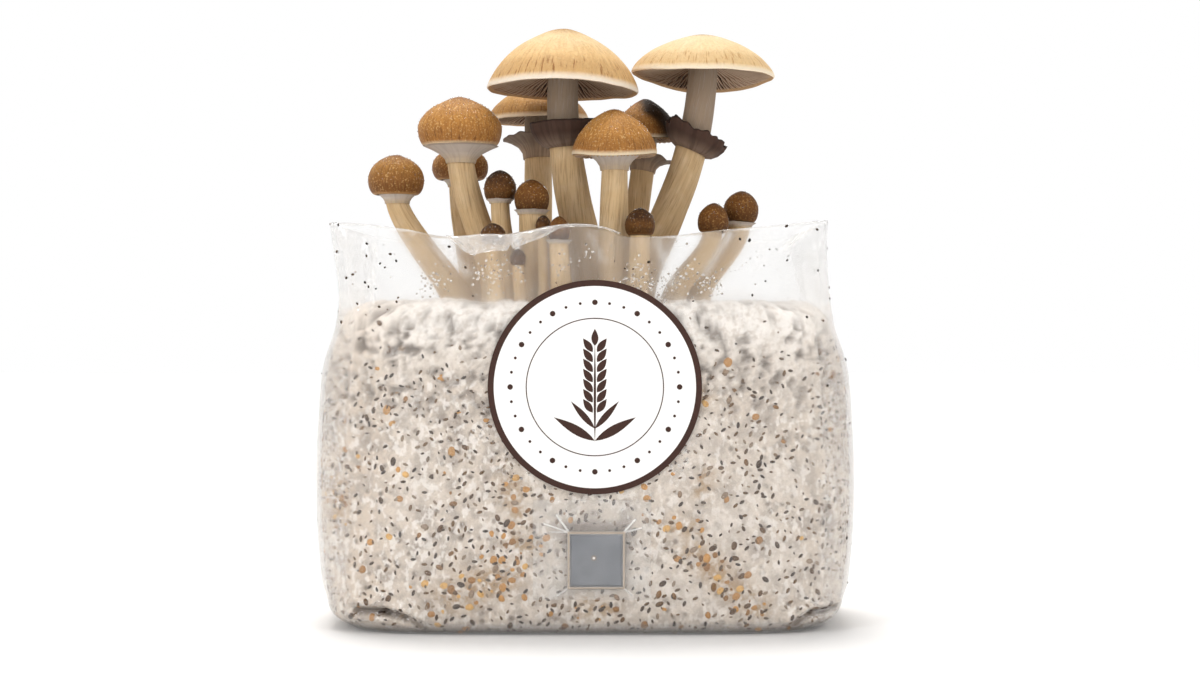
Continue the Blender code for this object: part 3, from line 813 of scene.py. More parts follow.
def paper_material(film):
    """Coated label paper: smooth, bright, with a faint fibre cloud in its gloss."""
    material, tree, shader, place = start_material(
        "coated_label_paper", coat_weight=0.15, coat_roughness=0.25)
    cloud = blotches(tree, place, 2.5 * MM, 0.35, 0.7)
    paint(tree, shader.inputs["Base Color"], film.label_paper, ("#F0EDEA", cloud, 0.2))
    rough = add_node(tree, "ShaderNodeMapRange",
                     {"Value": cloud, "To Min": 0.38, "To Max": 0.5})
    tree.links.new(rough.outputs[0], shader.inputs["Roughness"])
    return material


def ink_material(film):
    """Brown offset ink on the coated paper: satin, with a slightly uneven film of ink."""
    material, tree, shader, place = start_material(
        "label_ink", roughness=0.55, specular_ior_level=0.25)
    paint(tree, shader.inputs["Base Color"], film.label_ink,
          ("#46291F", blotches(tree, place, 1.5 * MM, 0.35, 0.7), 0.5))
    return material


def rubber_material(film):
    """Self-healing silicone: matte grey, dusty, with a pale pinprick where it was injected."""
    material, tree, shader, place = start_material("grey_silicone_rubber", roughness=0.55)
    prick = PORT_CENTRE + Vector((-1.0 * MM, 0, 1.0 * MM))
    from_prick = add_node(tree, "ShaderNodeVectorMath", {0: place, 1: tuple(prick)},
                          operation="SUBTRACT")
    flat = add_node(tree, "ShaderNodeVectorMath", {0: from_prick.outputs[0], 1: (1, 0, 1)},
                    operation="MULTIPLY")
    reach = add_node(tree, "ShaderNodeVectorMath", {0: flat.outputs[0]},
                     operation="LENGTH").outputs["Value"]
    paint(
        tree, shader.inputs["Base Color"], film.port_rubber,
        ("#8A8E94", blotches(tree, place, 7 * MM, 0.35, 0.7), 0.25),
        ("#86705E", (reach, 0.4 * MM, 0.7 * MM), (reach, 1.4 * MM, 0.8 * MM), 0.7),
        ("#E4E0DA", (reach, 0.7 * MM, 0.35 * MM)),
    )
    return material


def floor_material():
    """Matt white studio paper: bright, with a faint unevenness."""
    material, tree, shader, place = start_material("white_studio_paper", roughness=0.9)
    paint(tree, shader.inputs["Base Color"], "#FBFAF9",
          ("#F8F7F5", blotches(tree, place, 0.2, 0.3, 0.7), 0.15))
    return material


# ---- node trees for what repeats -------------------------------------------------------------

def start_tree(name, sockets):
    """A Geometry Nodes tree with these named inputs: the tree and its input node."""
    tree = bpy.data.node_groups.new(name, "GeometryNodeTree")
    tree.interface.new_socket(name="Geometry", in_out="INPUT", socket_type="NodeSocketGeometry")
    for label, kind in sockets:
        tree.interface.new_socket(name=label, in_out="INPUT", socket_type=f"NodeSocket{kind}")
    tree.interface.new_socket(name="Geometry", in_out="OUTPUT",
                              socket_type="NodeSocketGeometry")
    return tree, add_node(tree, "NodeGroupInput")


def end_tree(tree, geometry, material):
    """Realize the instances, set their material and hand them out."""
    real = add_node(tree, "GeometryNodeRealizeInstances", {"Geometry": geometry})
    dressed = add_node(tree, "GeometryNodeSetMaterial",
                       {"Geometry": real.outputs[0], "Material": material})
    add_node(tree, "NodeGroupOutput", {"Geometry": dressed.outputs[0]})
    return tree


def scatter_tree():
    """Small rounded bits strewn over a surface, as densely as its "strewn" value says."""
    tree, given = start_tree("Strewn Bits", (
        ("Density", "Float"), ("Spacing", "Float"), ("Seed", "Int"), ("Smallest", "Float"),
        ("Largest", "Float"), ("Width Share", "Float"), ("Thickness Share", "Float"),
        ("Lift", "Float"), ("Segments", "Int"), ("Rings", "Int"), ("Material", "Material")))
    get = given.outputs
    weight = add_node(tree, "GeometryNodeInputNamedAttribute", {"Name": "strewn"},
                      data_type="FLOAT")
    strewn = add_node(tree, "GeometryNodeDistributePointsOnFaces", {
        "Mesh": get["Geometry"], "Distance Min": get["Spacing"], "Density Max": get["Density"],
        "Density Factor": weight.outputs[0], "Seed": get["Seed"]},
        distribute_method="POISSON")
    lift = add_node(tree, "ShaderNodeVectorMath",
                    {0: strewn.outputs["Normal"], "Scale": get["Lift"]}, operation="SCALE")
    moved = add_node(tree, "GeometryNodeSetPosition",
                     {"Geometry": strewn.outputs["Points"], "Offset": lift.outputs[0]})
    ball = add_node(tree, "GeometryNodeMeshUVSphere",
                    {"Segments": get["Segments"], "Rings": get["Rings"], "Radius": 0.5})
    round_ball = add_node(tree, "GeometryNodeSetShadeSmooth", {"Geometry": ball.outputs[0]})
    shape = add_node(tree, "ShaderNodeCombineXYZ", {
        "X": get["Width Share"], "Y": 1.0, "Z": get["Thickness Share"]})
    bit = add_node(tree, "GeometryNodeTransform",
                   {"Geometry": round_ball.outputs[0], "Scale": shape.outputs[0]})
    spin = add_node(tree, "FunctionNodeRandomValue",
                    {2: 0.0, 3: 2 * math.pi, "Seed": get["Seed"]}, data_type="FLOAT")
    turn = add_node(tree, "ShaderNodeCombineXYZ", {"Z": spin.outputs[1]})
    turned = add_node(tree, "FunctionNodeRotateRotation",
                      {0: strewn.outputs["Rotation"], 1: turn.outputs[0]},
                      rotation_space="LOCAL")
    size = add_node(tree, "FunctionNodeRandomValue", {
        2: get["Smallest"], 3: get["Largest"], "Seed": get["Seed"]}, data_type="FLOAT")
    placed = add_node(tree, "GeometryNodeInstanceOnPoints", {
        "Points": moved.outputs[0], "Instance": bit.outputs[0],
        "Rotation": turned.outputs[0], "Scale": size.outputs[1]})
    tone = add_node(tree, "FunctionNodeRandomValue",
                    {2: 0.0, 3: 1.0, "Seed": 91}, data_type="FLOAT")
    toned = add_node(tree, "GeometryNodeStoreNamedAttribute", {
        "Geometry": placed.outputs[0], "Name": "tone", "Value": tone.outputs[1]},
        data_type="FLOAT", domain="INSTANCE")
    return end_tree(tree, toned.outputs[0], get["Material"])


def gill_tree():
    """One gill set out all round a cap, evenly but for a little wobble."""
    tree, given = start_tree("Gills Round A Cap", (
        ("Count", "Int"), ("Start Angle", "Float"), ("Wobble", "Float"), ("Seed", "Int"),
        ("Material", "Material")))
    get = given.outputs
    points = add_node(tree, "GeometryNodePoints", {"Count": get["Count"]})
    index = add_node(tree, "GeometryNodeInputIndex")
    share = add_node(tree, "ShaderNodeMath", {0: index.outputs[0], 1: get["Count"]},
                     operation="DIVIDE")
    angle = add_node(tree, "ShaderNodeMath",
                     {0: share.outputs[0], 1: 2 * math.pi, 2: get["Start Angle"]},
                     operation="MULTIPLY_ADD")
    wobble = add_node(tree, "FunctionNodeRandomValue",
                      {2: -1.0, 3: 1.0, "Seed": get["Seed"]}, data_type="FLOAT")
    final = add_node(tree, "ShaderNodeMath",
                     {0: wobble.outputs[1], 1: get["Wobble"], 2: angle.outputs[0]},
                     operation="MULTIPLY_ADD")
    turn = add_node(tree, "ShaderNodeCombineXYZ", {"Z": final.outputs[0]})
    placed = add_node(tree, "GeometryNodeInstanceOnPoints", {
        "Points": points.outputs[0], "Instance": get["Geometry"], "Rotation": turn.outputs[0]})
    return end_tree(tree, placed.outputs[0], get["Material"])


def run_tree(thing, tree, **values):
    """Give an object the tree with these inputs, and make the result its plain mesh."""
    modifier = thing.modifiers.new(tree.name, "NODES")
    modifier.node_group = tree
    for item in tree.interface.items_tree:
        key = item.name.replace(" ", "_").lower()
        if item.in_out == "INPUT" and key in values:
            modifier[item.identifier] = values[key]
    return settle(thing)


def strew(name, host, weight, material, **values):
    """Strew bits over a copy of a mesh; weight gives each vertex's share of the density."""
    surface = host.copy()
    if "strewn" in surface.attributes:
        surface.attributes.remove(surface.attributes["strewn"])
    add_values(surface, "strewn", weight)
    thing = add_object(name, surface)
    tree = bpy.data.node_groups.get("Strewn Bits") or scatter_tree()
    return run_tree(thing, tree, material=material, **values)


# ---- the film --------------------------------------------------------------------------------

FILM_COLUMNS = 400
FILM_ROWS = 113
FLAP_ENDS = (-57, 15)      # mm; the folded-out strip's ends, across the front
# The flap's hem, in millimetres: place across the bag and how far it hangs below the rim.
FLAP_HEM = ((-57, 0.2), (-50, 6.2), (-45.5, 8.3), (-38, 6.8), (-32.3, 6.5), (-31.2, 4.0),
            (-29.3, 6.3), (-20, 4.4), (-11, 1.4), (0, 0.9), (15, 0.2))
# The flap's flat facets, in millimetres: depth, and spacing across and up.
FLAP_FACETS = ((4.2, 11, 17), (3.0, 6.3, -9.1), (1.6, 3.4, 4.6))
FLAP_MIST = 0.2
# Where beads of water gather on the front, in millimetres: place across and up, and reach.
WET_SPOTS = ((-38, 150, 9), (-63, 147, 8), (51, 146, 8), (-9, 152, 4), (-28, 150, 6))


def film_grid():
    """The film's outer face as rows of points in millimetres, from the floor to the rim, and q
    of the square they were pulled from."""
    turn = np.linspace(0, 4, FILM_COLUMNS, endpoint=False)[None, :]
    height = np.linspace(0, RIM_CORNER, FILM_ROWS)[:, None]
    turn, height = np.broadcast_arrays(turn, height)
    points, _, q = bag_skin(turn, height)
    normal = outward(points)
    x, z = points[..., 0], points[..., 2]
    front = q <= -1
    free = ease(height, SHOULDER - 6, SHOULDER + 14)
    stretched = points * np.array([1, 1, 0.6])
    lift = 0.75 * free * soft_noise(stretched, 34, 3) + 0.22 * free * soft_noise(points, 11, 4)
    lift += (0.05 + 0.05 * free) * soft_noise(points, 5, 5)
    lift += np.where(front, creased(x, z, HEADSPACE_CREASES), 0.0)
    corner = np.where(q < 0, creased(x, z, BAG_CREASES), creased(-x, z, BAG_CREASES))
    lift += corner * ease(np.abs(x), 60, 72)
    lift *= ease(height, 0, 4)
    points = points + normal * lift[..., None]
    points[..., 0] -= RIM_SHIFT * ease(height, SHOULDER, RIM_CORNER)
    return points, q


def film_mist(points):
    """How misted the film is: most over the mushrooms' feet, least over the block."""
    z = points[..., 2]
    free = ease(z, SHOULDER - 4, SHOULDER + 8)
    x = points[..., 0]
    inner = ease(np.abs(x), 100, 60)
    # White along the headspace creases: partly stress whitening, partly a painted highlight.
    folds = np.clip(np.abs(creased(x, z, HEADSPACE_CREASES)) / 1.6, 0, 1) * (points[..., 1] < -20)
    cloudy = (0.018 + 0.008 * inner) * (1 + 0.6 * soft_noise(points, 16, 8))
    return free * (cloudy + 0.3 * folds) + 0.012


def make_flap():
    """The strip of film folded out and down over the front rim, left of the middle."""
    columns, rows = 90, 14
    x = np.linspace(*FLAP_ENDS, columns)[None, :]
    down = np.linspace(0, 1, rows)[:, None]
    top = smooth_curve(x, *zip(*FRONT_RIM))
    hem = np.interp(x, *zip(*FLAP_HEM))
    z = top - down * hem + 0.25 * (1 - down)
    x = x + 0.8 * down * np.sin(x / 3.1)
    y = front_depth(x, np.minimum(z, RIM_CORNER)) - 0.5
    y = y - 1.7 * np.sin(math.pi * np.minimum(1, down * 1.25 + 0.12)) - 0.4 * down
    points = np.stack([x, y, z], -1)
    facets = sum(depth * np.abs((x / wide + z / tall) % 1 - 0.5)
                 for depth, wide, tall in FLAP_FACETS)
    points[..., 1] += facets * (0.25 + down) - 2.4 * down
    grid = np.arange(rows * columns).reshape(rows, columns)
    faces = [(grid[i, j], grid[i + 1, j], grid[i + 1, j + 1], grid[i, j + 1])
             for i in range(rows - 1) for j in range(columns - 1)]
    return points.reshape(-1, 3), faces


def build_film(context):
    """The clear bag, closed at its foot and cut open at its rim, with the folded-out flap."""
    film = context.scene.grow_bag_film
    clear = film_material("clear_polypropylene_film", 0.62, film.haze)
    grid, _ = film_grid()
    foot = FILM_ROWS * FILM_COLUMNS
    faces = closed_grid(FILM_ROWS, FILM_COLUMNS)
    faces += fan(list(range(FILM_COLUMNS)), foot, False)
    flap, flap_faces = make_flap()
    start = foot + 1
    faces += [tuple(start + int(i) for i in face) for face in flap_faces]
    points = np.vstack([grid.reshape(-1, 3), np.zeros((1, 3)), flap])
    mesh = make_mesh("film_bag", in_frame(points), faces, [clear])
    mist = film_mist(points)
    mist[start:] = FLAP_MIST
    add_values(mesh, "mist", mist)
    bag = thicken(add_object("film_bag", mesh), film.thickness, -1)
    hand_over(bag, "film", "bag_film")


def build_condensation(context):
    """Beads of water and specks of dirt on the free film."""
    film = context.scene.grow_bag_film
    grid, q = film_grid()
    flat = grid.reshape(-1, 3)
    mesh = make_mesh("film_face", in_frame(flat), closed_grid(FILM_ROWS, FILM_COLUMNS), [])
    x, z = flat[:, 0], flat[:, 2]
    front = q.ravel() <= -1
    free = ease(z, 133, 140) * ease(z, 166, 160)
    wet = ease(soft_noise(flat, 17, 31), 0.12, 0.5) * ease(np.abs(x), 74, 52)
    for spot_x, spot_z, reach in WET_SPOTS:
        wet = np.maximum(wet, 1.6 * np.exp(-((x - spot_x) ** 2 + (z - spot_z) ** 2)
                                           / (0.6 * reach) ** 2) * front)
    reach = np.hypot(x - LABEL_CENTRE.x / MM, z - LABEL_CENTRE.z / MM) - 44
    round_label = front * ease(reach, 9, 2) * ease(reach, 0.6, 1.6)
    round_label = round_label * ease(z, 110, 80) * ease(z, 50, 62)
    round_label = round_label * ease(soft_noise(flat, 14, 37), -0.1, 0.3)
    weight = 0.5 * wet * free + 0.3 * round_label + 0.006 * free
    beads = strew("condensation", mesh, weight, water_material("condensed_water"),
                  density=film.droplet_density, seed=5, smallest=0.45 * MM, largest=1.35 * MM,
                  width_share=0.9, thickness_share=0.7, lift=0.12 * MM, segments=7, rings=5)
    hand_over(beads, "film")
    edge = 0.35 + 0.65 * ease(np.abs(x), 62, 84)
    dirt = ease(z, 126, 134) * edge + 0.12 * ease(np.abs(x), 96, 108)
    specks = strew("film_specks", mesh, dirt, dirt_material(), density=film.speck_density,
                   seed=12, smallest=0.7 * MM, largest=1.9 * MM, width_share=0.7,
                   thickness_share=0.35, lift=0.12 * MM, segments=6, rings=4)
    hand_over(specks, "film")
    bpy.data.meshes.remove(mesh)


# ---- the block -------------------------------------------------------------------------------

BLOCK_COLUMNS = 600
BLOCK_SIDE_ROWS = 130
BLOCK_TOP_ROWS = 27
BLOCK_SIDE_TOP = 127.0     # mm; the block's side rounds over into its top above this
BLOCK_CROWN = 138.5        # mm; mean height of the block's top


def block_grid(block):
    """Rows of points from the block's foot up its side and in over its top, in millimetres,
    and how deep each lies in a hollow between lumps."""
    turn = np.linspace(0, 4, BLOCK_COLUMNS, endpoint=False)[None, :]
    side = np.linspace(0.0, BLOCK_SIDE_TOP, BLOCK_SIDE_ROWS)[:, None]
    inset = block.inset / MM
    wall, p, q = bag_skin(*np.broadcast_arrays(turn, side))
    slack = np.where(np.abs(p) >= 1, 1.6 * (1 - q * q) * ease(side, 6, 20), 0.0)
    wall = wall - outward(wall) * (inset + slack)[..., None]
    wall[..., 2] = np.maximum(wall[..., 2], inset)
    rim = wall[-1:]
    inward = np.linspace(0, 1, BLOCK_TOP_ROWS + 1)[1:, None]
    inward = inward ** 1.25
    shrink = 1 - 0.985 * inward
    rounding = np.clip(inward / 0.16, 0, 1)
    over = np.sqrt(1 - (1 - rounding) ** 2)
    height = BLOCK_SIDE_TOP + (BLOCK_CROWN - BLOCK_SIDE_TOP) * over[..., None]
    height = np.broadcast_to(height, (BLOCK_TOP_ROWS, BLOCK_COLUMNS, 1))
    top = np.concatenate([rim[..., :2] * shrink[..., None], height], axis=-1)
    grid = np.concatenate([wall, top])
    normal = outward(grid)
    lump = block.lump_size / MM
    big = rough_noise(grid * np.array([1, 1, 1.25]), lump, 41, 3)
    fine = rough_noise(grid, 0.4 * lump, 47, 3)
    high = ease(grid[..., 2], 72, 114)
    deep = np.maximum(0, 0.8 * big + 1.0 * fine - 0.02)
    shallow = np.maximum(0, 0.5 * big + 0.8 * fine - 0.1)
    depth = (block.lump_depth / MM) * deep * high
    depth += 0.8 * shallow * (1 - high)
    depth = np.minimum(depth, 4.5)
    x, z = grid[..., 0], grid[..., 2]
    corner = np.where(grid[..., 1] < 0, creased(x, z, BAG_CREASES),
                      creased(-x, z, BAG_CREASES)) * ease(np.abs(x), 60, 72)
    corner *= ease(z, 0.8, 4)
    grid = grid + normal * (corner - depth)[..., None]
    crown = ease(grid[..., 2], BLOCK_SIDE_TOP, BLOCK_CROWN)
    grid[..., 2] += crown * (2.2 * soft_noise(grid, 22, 53) + 1.2 * fine)
    return grid, depth / 3.0


def near_patches(x, z):
    """How close places on the front are to a patch of golden grain, from 0 to 1."""
    near = np.zeros(x.shape)
    for patch in GRAIN_PATCHES:
        run = np.array([patch.x1 - patch.x0, patch.z1 - patch.z0], float)
        along = ((x - patch.x0) * run[0] + (z - patch.z0) * run[1]) / (run @ run)
        along = np.clip(along, 0, 1)
        away = np.hypot(x - patch.x0 - along * run[0], z - patch.z0 - along * run[1])
        near = np.maximum(near, np.exp(-(away / patch.radius) ** 2))
    return near


def golden_share(points):
    """How much golden grain shows at places on the block, from 0 to 1: in set patches on the
    front, and here and there low on the sides and back."""
    x, y, z = points.T
    return np.where(y < -30, near_patches(x, z),
                    ease(soft_noise(points, 26, 61), 0.3, 0.6) * ease(z, 110, 80))


def build_block(context):
    """The block, and the masks that say where its mycelium is thin, stained or fluffy, and
    where shade is painted on it: in its hollows, round the port, under the tucks and along its
    foot.
    """
    block = context.scene.grow_bag_block
    grid, hollow = block_grid(block)
    rows, columns = grid.shape[:2]
    points = grid.reshape(-1, 3)
    hollow = hollow.reshape(-1)
    foot = len(points)
    points = np.vstack([points, [0, 0, block.inset / MM], grid[-1].mean(axis=0)])
    hollow = np.append(hollow, [0, 0])
    faces = closed_grid(rows, columns)
    faces += fan(list(range(columns)), foot, False)
    faces += fan([(rows - 1) * columns + j for j in range(columns)], foot + 1, True)
    mycelium = mycelium_material(block)
    mesh = make_mesh("mycelium_block", in_frame(points), faces, [mycelium])
    x, y, z = points.T
    front = y < -30
    high = ease(z, 96, 126)
    thin = (1 - 0.75 * high) * (0.75 + 0.5 * soft_noise(points, 24, 63))
    # Greyer towards the left of the front, below the top.
    thin = thin + 0.3 * front * (1 - high) * ease(-x, -5, 60)
    # Painted shade: round the port, heaviest above it, along the foot and under the tucks of the
    # bottom corners.
    port_x, port_z = PORT_CENTRE.x / MM, PORT_CENTRE.z / MM
    beside = np.maximum(np.abs(x - port_x), np.abs(z - port_z - 1.2)) - 11.0
    smudge = front * ease(beside, 6.0, -0.5) * (0.45 + 0.85 * ease(z, port_z, port_z + 12))
    tucks = creased(x, z, BAG_CREASES) * front
    smudge = smudge + ease(z, 5, 0.5) * 0.4 + 0.9 * ease(tucks, -0.6, -2.6)
    # How deep each place lies in a hollow, painted as shade in the mycelium's colour.
    add_values(mesh, "hollow", np.clip(hollow, 0, 1))
    add_values(mesh, "gold", golden_share(points))
    add_values(mesh, "thin", np.clip(thin, 0, 1))
    add_values(mesh, "smudge", np.clip(smudge, 0, 1))
    add_values(mesh, "side", np.maximum(ease(x, 86, 112), ease(-x, 66, 104)))
    # Painted shade along the block's foot, darkest where it meets the floor.
    add_values(mesh, "damp", ease(z, 5.0, 0.4))
    add_values(mesh, "fluffy", ease(z, 112, 130))
    hand_over(add_object("mycelium_block", mesh), "block", "substrate_block")


def build_grain(context):
    """Dark millet, brown hulls and golden sorghum showing at the block's sides."""
    block = context.scene.grow_bag_block
    grid, _ = block_grid(block)
    points = grid.reshape(-1, 3)
    mesh = make_mesh("block_face", in_frame(points), closed_grid(*grid.shape[:2]), [])
    z = points[:, 2]
    low = ease(z, 128, 98)
    side = ease(z, 132, 120) * ease(z, 0.6, 2.5)
    clumps = 0.85 + 0.4 * soft_noise(points, 13, 71)
    seed_weight = 0.74 * side * (0.12 + 0.88 * low) * np.clip(clumps, 0.15, 1.4)
    gold = golden_share(points)
    seed_colours = [block.seed, "#6B4E2C", "#33241A", "#8B7965"]
    grain_colours = ["#8A602E", block.grain, "#A97B45", "#CFA25C"]
    hull_colours = ["#5B3F22", "#3A2716", "#7D5729", "#8E7A66"]
    seeds = strew("millet_seeds", mesh, seed_weight,
                  grain_material("millet_hull", seed_colours, 0.5),
                  density=block.seed_density, spacing=2.45 * MM, seed=3, smallest=1.4 * MM,
                  largest=3.1 * MM, width_share=0.5, thickness_share=0.42, lift=-0.08 * MM,
                  segments=6, rings=5)
    hand_over(seeds, "block")
    hulls = strew("brown_hulls", mesh, side * (0.25 + 0.75 * low) * (0.22 + gold),
                  grain_material("brown_hull", hull_colours, 0.45),
                  density=1.1 * block.grain_density, spacing=4.0 * MM, seed=8,
                  smallest=2.4 * MM, largest=4.2 * MM, width_share=0.62,
                  thickness_share=0.4, lift=-0.2 * MM, segments=9, rings=6)
    hand_over(hulls, "block")
    grains = strew("golden_grain", mesh, side * (0.07 + 0.93 * gold) * (0.4 + 0.6 * low),
                   grain_material("sorghum_grain", grain_colours, 0.4),
                   density=2.6 * block.grain_density, spacing=3.1 * MM, seed=14,
                   smallest=2.6 * MM, largest=4.6 * MM, width_share=0.82,
                   thickness_share=0.42, lift=-0.5 * MM, segments=11, rings=7)
    hand_over(grains, "block")
    bpy.data.meshes.remove(mesh)


# ---- label, port and patch -------------------------------------------------------------------

LABEL_EDGES = 144          # straight edges round the label
LABEL_BORDER = 2.5 * MM
LABEL_LIFT = 0.35 * MM     # from the film to the paper's back
PAPER_WALL = 0.2 * MM
PRINT_LIFT = 0.57 * MM     # from the film to the ink, just clear of the paper
INNER_RING = (0.635, 0.645)    # the thin printed ring, as shares of the label's radius
DOT_CIRCLE = 0.79          # share of the label's radius at which its dots stand
DOT_COUNT = 36             # every third is large
LARGE_DOT = 1.15 * MM
SMALL_DOT = 0.6 * MM

PAD_CELLS = 24
PAD_LIFT = 1.9 * MM        # from the film to the pad's face
PAD_WALL = 1.5 * MM
PAD_ROUNDING = 0.25 * MM   # how far the pad's edges fall back
PATCH_LIFT = 0.3           # mm, from the film to the patch
PATCH_RISE = 1.85          # mm more that the patch stands out over the pad
PATCH_WALL = 0.12 * MM

def lay_on_front(mesh, lift):
    """Stand a flat XZ mesh, in metres, on the film's front, this far clear of it."""
    for vert in mesh.vertices:
        x, z = vert.co.x / MM, vert.co.z / MM
        y = float(front_depth(np.array(x), np.array(z)))
        vert.co.y = y * MM + BAG_AXIS_Y - lift + vert.co.y


def disc_outline(centre, radius, count):
    """Points round a circle, across and up."""
    return [(centre[0] + radius * math.cos(2 * math.pi * i / count),
             centre[1] + radius * math.sin(2 * math.pi * i / count)) for i in range(count)]


def add_ring_of_faces(form, centre, inner, outer, count, material):
    """A flat ring, or a disc where inner is 0, of faces small enough to follow the film."""
    steps = max(1, round((outer - inner) / (3 * MM)))
    radii = [inner + (outer - inner) * i / steps for i in range(steps + 1)]
    loops = []
    for radius in radii:
        if radius == 0:
            loops.append([form.verts.new((centre[0], 0, centre[1]))])
        else:
            loops.append([form.verts.new((x, 0, z))
                          for x, z in disc_outline(centre, radius, count)])
    for low, high in zip(loops, loops[1:]):
        for j in range(count):
            k = (j + 1) % count
            corners = ((low[0], high[k], high[j]) if len(low) == 1
                       else (low[j], low[k], high[k], high[j]))
            form.faces.new(corners).material_index = material


def add_leaf(form, root, angle, length, width, material):
    """A pointed kernel or leaf of ink, from its root outwards."""
    steps = 8
    along = Vector((math.sin(angle), 0, math.cos(angle)))
    across = Vector((math.cos(angle), 0, -math.sin(angle)))
    base = Vector((root[0], 0, root[1]))
    sides = []
    for sign in (-1, 1):
        line = []
        for i in range(steps + 1):
            t = i / steps
            swell = math.sin(math.pi * t ** 0.85)
            line.append(base + along * length * t + across * sign * width * 0.5 * swell)
        sides.append(line)
    left, right = [[form.verts.new(point) for point in line] for line in sides]
    for i in range(steps):
        face = form.faces.new((left[i], right[i], right[i + 1], left[i + 1]))
        face.material_index = material


def build_label(context):
    """White paper disc with a brown border, a thin inner ring, plain dots and a plain ear of
    grain in the middle."""
    film = context.scene.grow_bag_film
    radius = film.label_radius
    centre = (LABEL_CENTRE.x, LABEL_CENTRE.z)
    form = bmesh.new()
    add_ring_of_faces(form, centre, 0.0, radius - LABEL_BORDER, LABEL_EDGES, 0)
    add_ring_of_faces(form, centre, radius - LABEL_BORDER, radius, LABEL_EDGES, 1)
    bmesh.ops.remove_doubles(form, verts=form.verts, dist=1e-6)
    sheet = facing_front("paper_label", form, LABEL_LIFT)
    ink = ink_material(film)
    sheet.materials.append(paper_material(film))
    sheet.materials.append(ink)
    label = thicken(add_object("paper_label", sheet), PAPER_WALL, 1)
    hand_over(label, "label", "label")

    art = bmesh.new()
    inner, outer = INNER_RING
    add_ring_of_faces(art, centre, inner * radius, outer * radius, LABEL_EDGES, 0)
    for i, at in enumerate(disc_outline(centre, DOT_CIRCLE * radius, DOT_COUNT)):
        add_ring_of_faces(art, at, 0.0, SMALL_DOT if i % 3 else LARGE_DOT, 14, 0)
    draw_ear(art, centre, radius)
    ornament = facing_front("label_print", art, PRINT_LIFT)
    ornament.materials.append(ink)
    hand_over(add_object("label_print", ornament), "label")


def facing_front(name, form, lift):
    """A flat drawing as a mesh that faces the front, -Y, this far clear of the film."""
    bmesh.ops.recalc_face_normals(form, faces=form.faces)
    form.normal_update()
    bmesh.ops.reverse_faces(form, faces=[face for face in form.faces if face.normal.y > 0])
    mesh = drawn(name, form)
    lay_on_front(mesh, lift)
    return mesh


def draw_ear(form, centre, radius):
    """An upright ear of grain: a stalk, paired kernels, a top kernel and four long leaves."""
    x, z = centre
    bottom = z - 0.52 * radius
    step = 0.094 * radius
    add_leaf(form, (x, bottom), 0.0, 0.95 * radius, 0.022 * radius, 0)
    for side in (-1, 1):
        for i in range(7):
            root = (x + side * 0.020 * radius, bottom + (3.0 + i) * step)
            add_leaf(form, root, side * 0.62, 0.155 * radius, 0.066 * radius, 0)
        add_leaf(form, (x, bottom + 0.2 * step), side * 1.05, 0.44 * radius, 0.085 * radius, 0)
        add_leaf(form, (x, bottom + 1.4 * step), side * 0.72, 0.34 * radius, 0.060 * radius, 0)
    add_leaf(form, (x, bottom + 9.6 * step), 0.0, 0.16 * radius, 0.066 * radius, 0)


def build_port(context):
    """The square silicone pad and the clear patch that holds it down."""
    film = context.scene.grow_bag_film
    low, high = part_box("injection_port")
    half = 0.5 * (high.x - low.x)
    form = bmesh.new()
    bmesh.ops.create_grid(form, x_segments=PAD_CELLS, y_segments=PAD_CELLS, size=half)
    for vert in form.verts:
        u, v = vert.co.x, vert.co.y
        edge = max(abs(u), abs(v)) / half
        round_off = PAD_ROUNDING * max(0.0, (edge - 0.9) / 0.1) ** 2
        vert.co = (PORT_CENTRE.x + u, round_off, PORT_CENTRE.z + v)
    mesh = facing_front("rubber_port", form, PAD_LIFT)
    mesh.materials.append(rubber_material(film))
    mesh.shade_smooth()
    port = thicken(add_object("rubber_port", mesh), PAD_WALL, -1)
    hand_over(port, "port", "injection_port")

    columns, rows = 150, 130
    u = np.linspace(PATCH_LOW.x, PATCH_HIGH.x, columns)[None, :] / MM
    v = np.linspace(PATCH_LOW.z, PATCH_HIGH.z, rows)[:, None] / MM
    x, z = np.broadcast_arrays(u, v)
    beside = np.maximum(np.abs(x - PORT_CENTRE.x / MM), np.abs(z - PORT_CENTRE.z / MM))
    on_port = ease(beside, half / MM + 1.5, half / MM + 0.3)
    creases = creased(x, z, PATCH_CREASES)
    lift = PATCH_LIFT + PATCH_RISE * on_port + (1 - on_port) * creases
    points = np.stack([x, front_depth(x, z) - lift, z], -1)
    tent = ease(beside, half / MM + 1.2, half / MM + 0.7)
    tent = tent * ease(beside, half / MM - 0.2, half / MM + 0.2)
    faces = [(a + j, a + j + 1, a + columns + j + 1, a + columns + j)
             for a in range(0, (rows - 1) * columns, columns) for j in range(columns - 1)]
    clear = film_material("clear_adhesive_patch", 0.6, 0.03)
    mesh = make_mesh("clear_patch", in_frame(points.reshape(-1, 3)), faces, [clear])
    # White along the patch's creases: partly stress whitening, partly a painted highlight.
    folds = np.clip(creases / 0.5, 0, 1) * (1 - on_port)
    add_values(mesh, "mist", (0.05 * (1 - on_port) + 0.55 * tent + 0.5 * folds).ravel())
    add_values(mesh, "tented", (0.9 * tent).ravel())
    patch = thicken(add_object("clear_patch", mesh), PATCH_WALL, 1)
    hand_over(patch, "patch", "port_patch")


# ---- mushrooms -------------------------------------------------------------------------------

Crown = namedtuple("Crown", "place radius height axis")


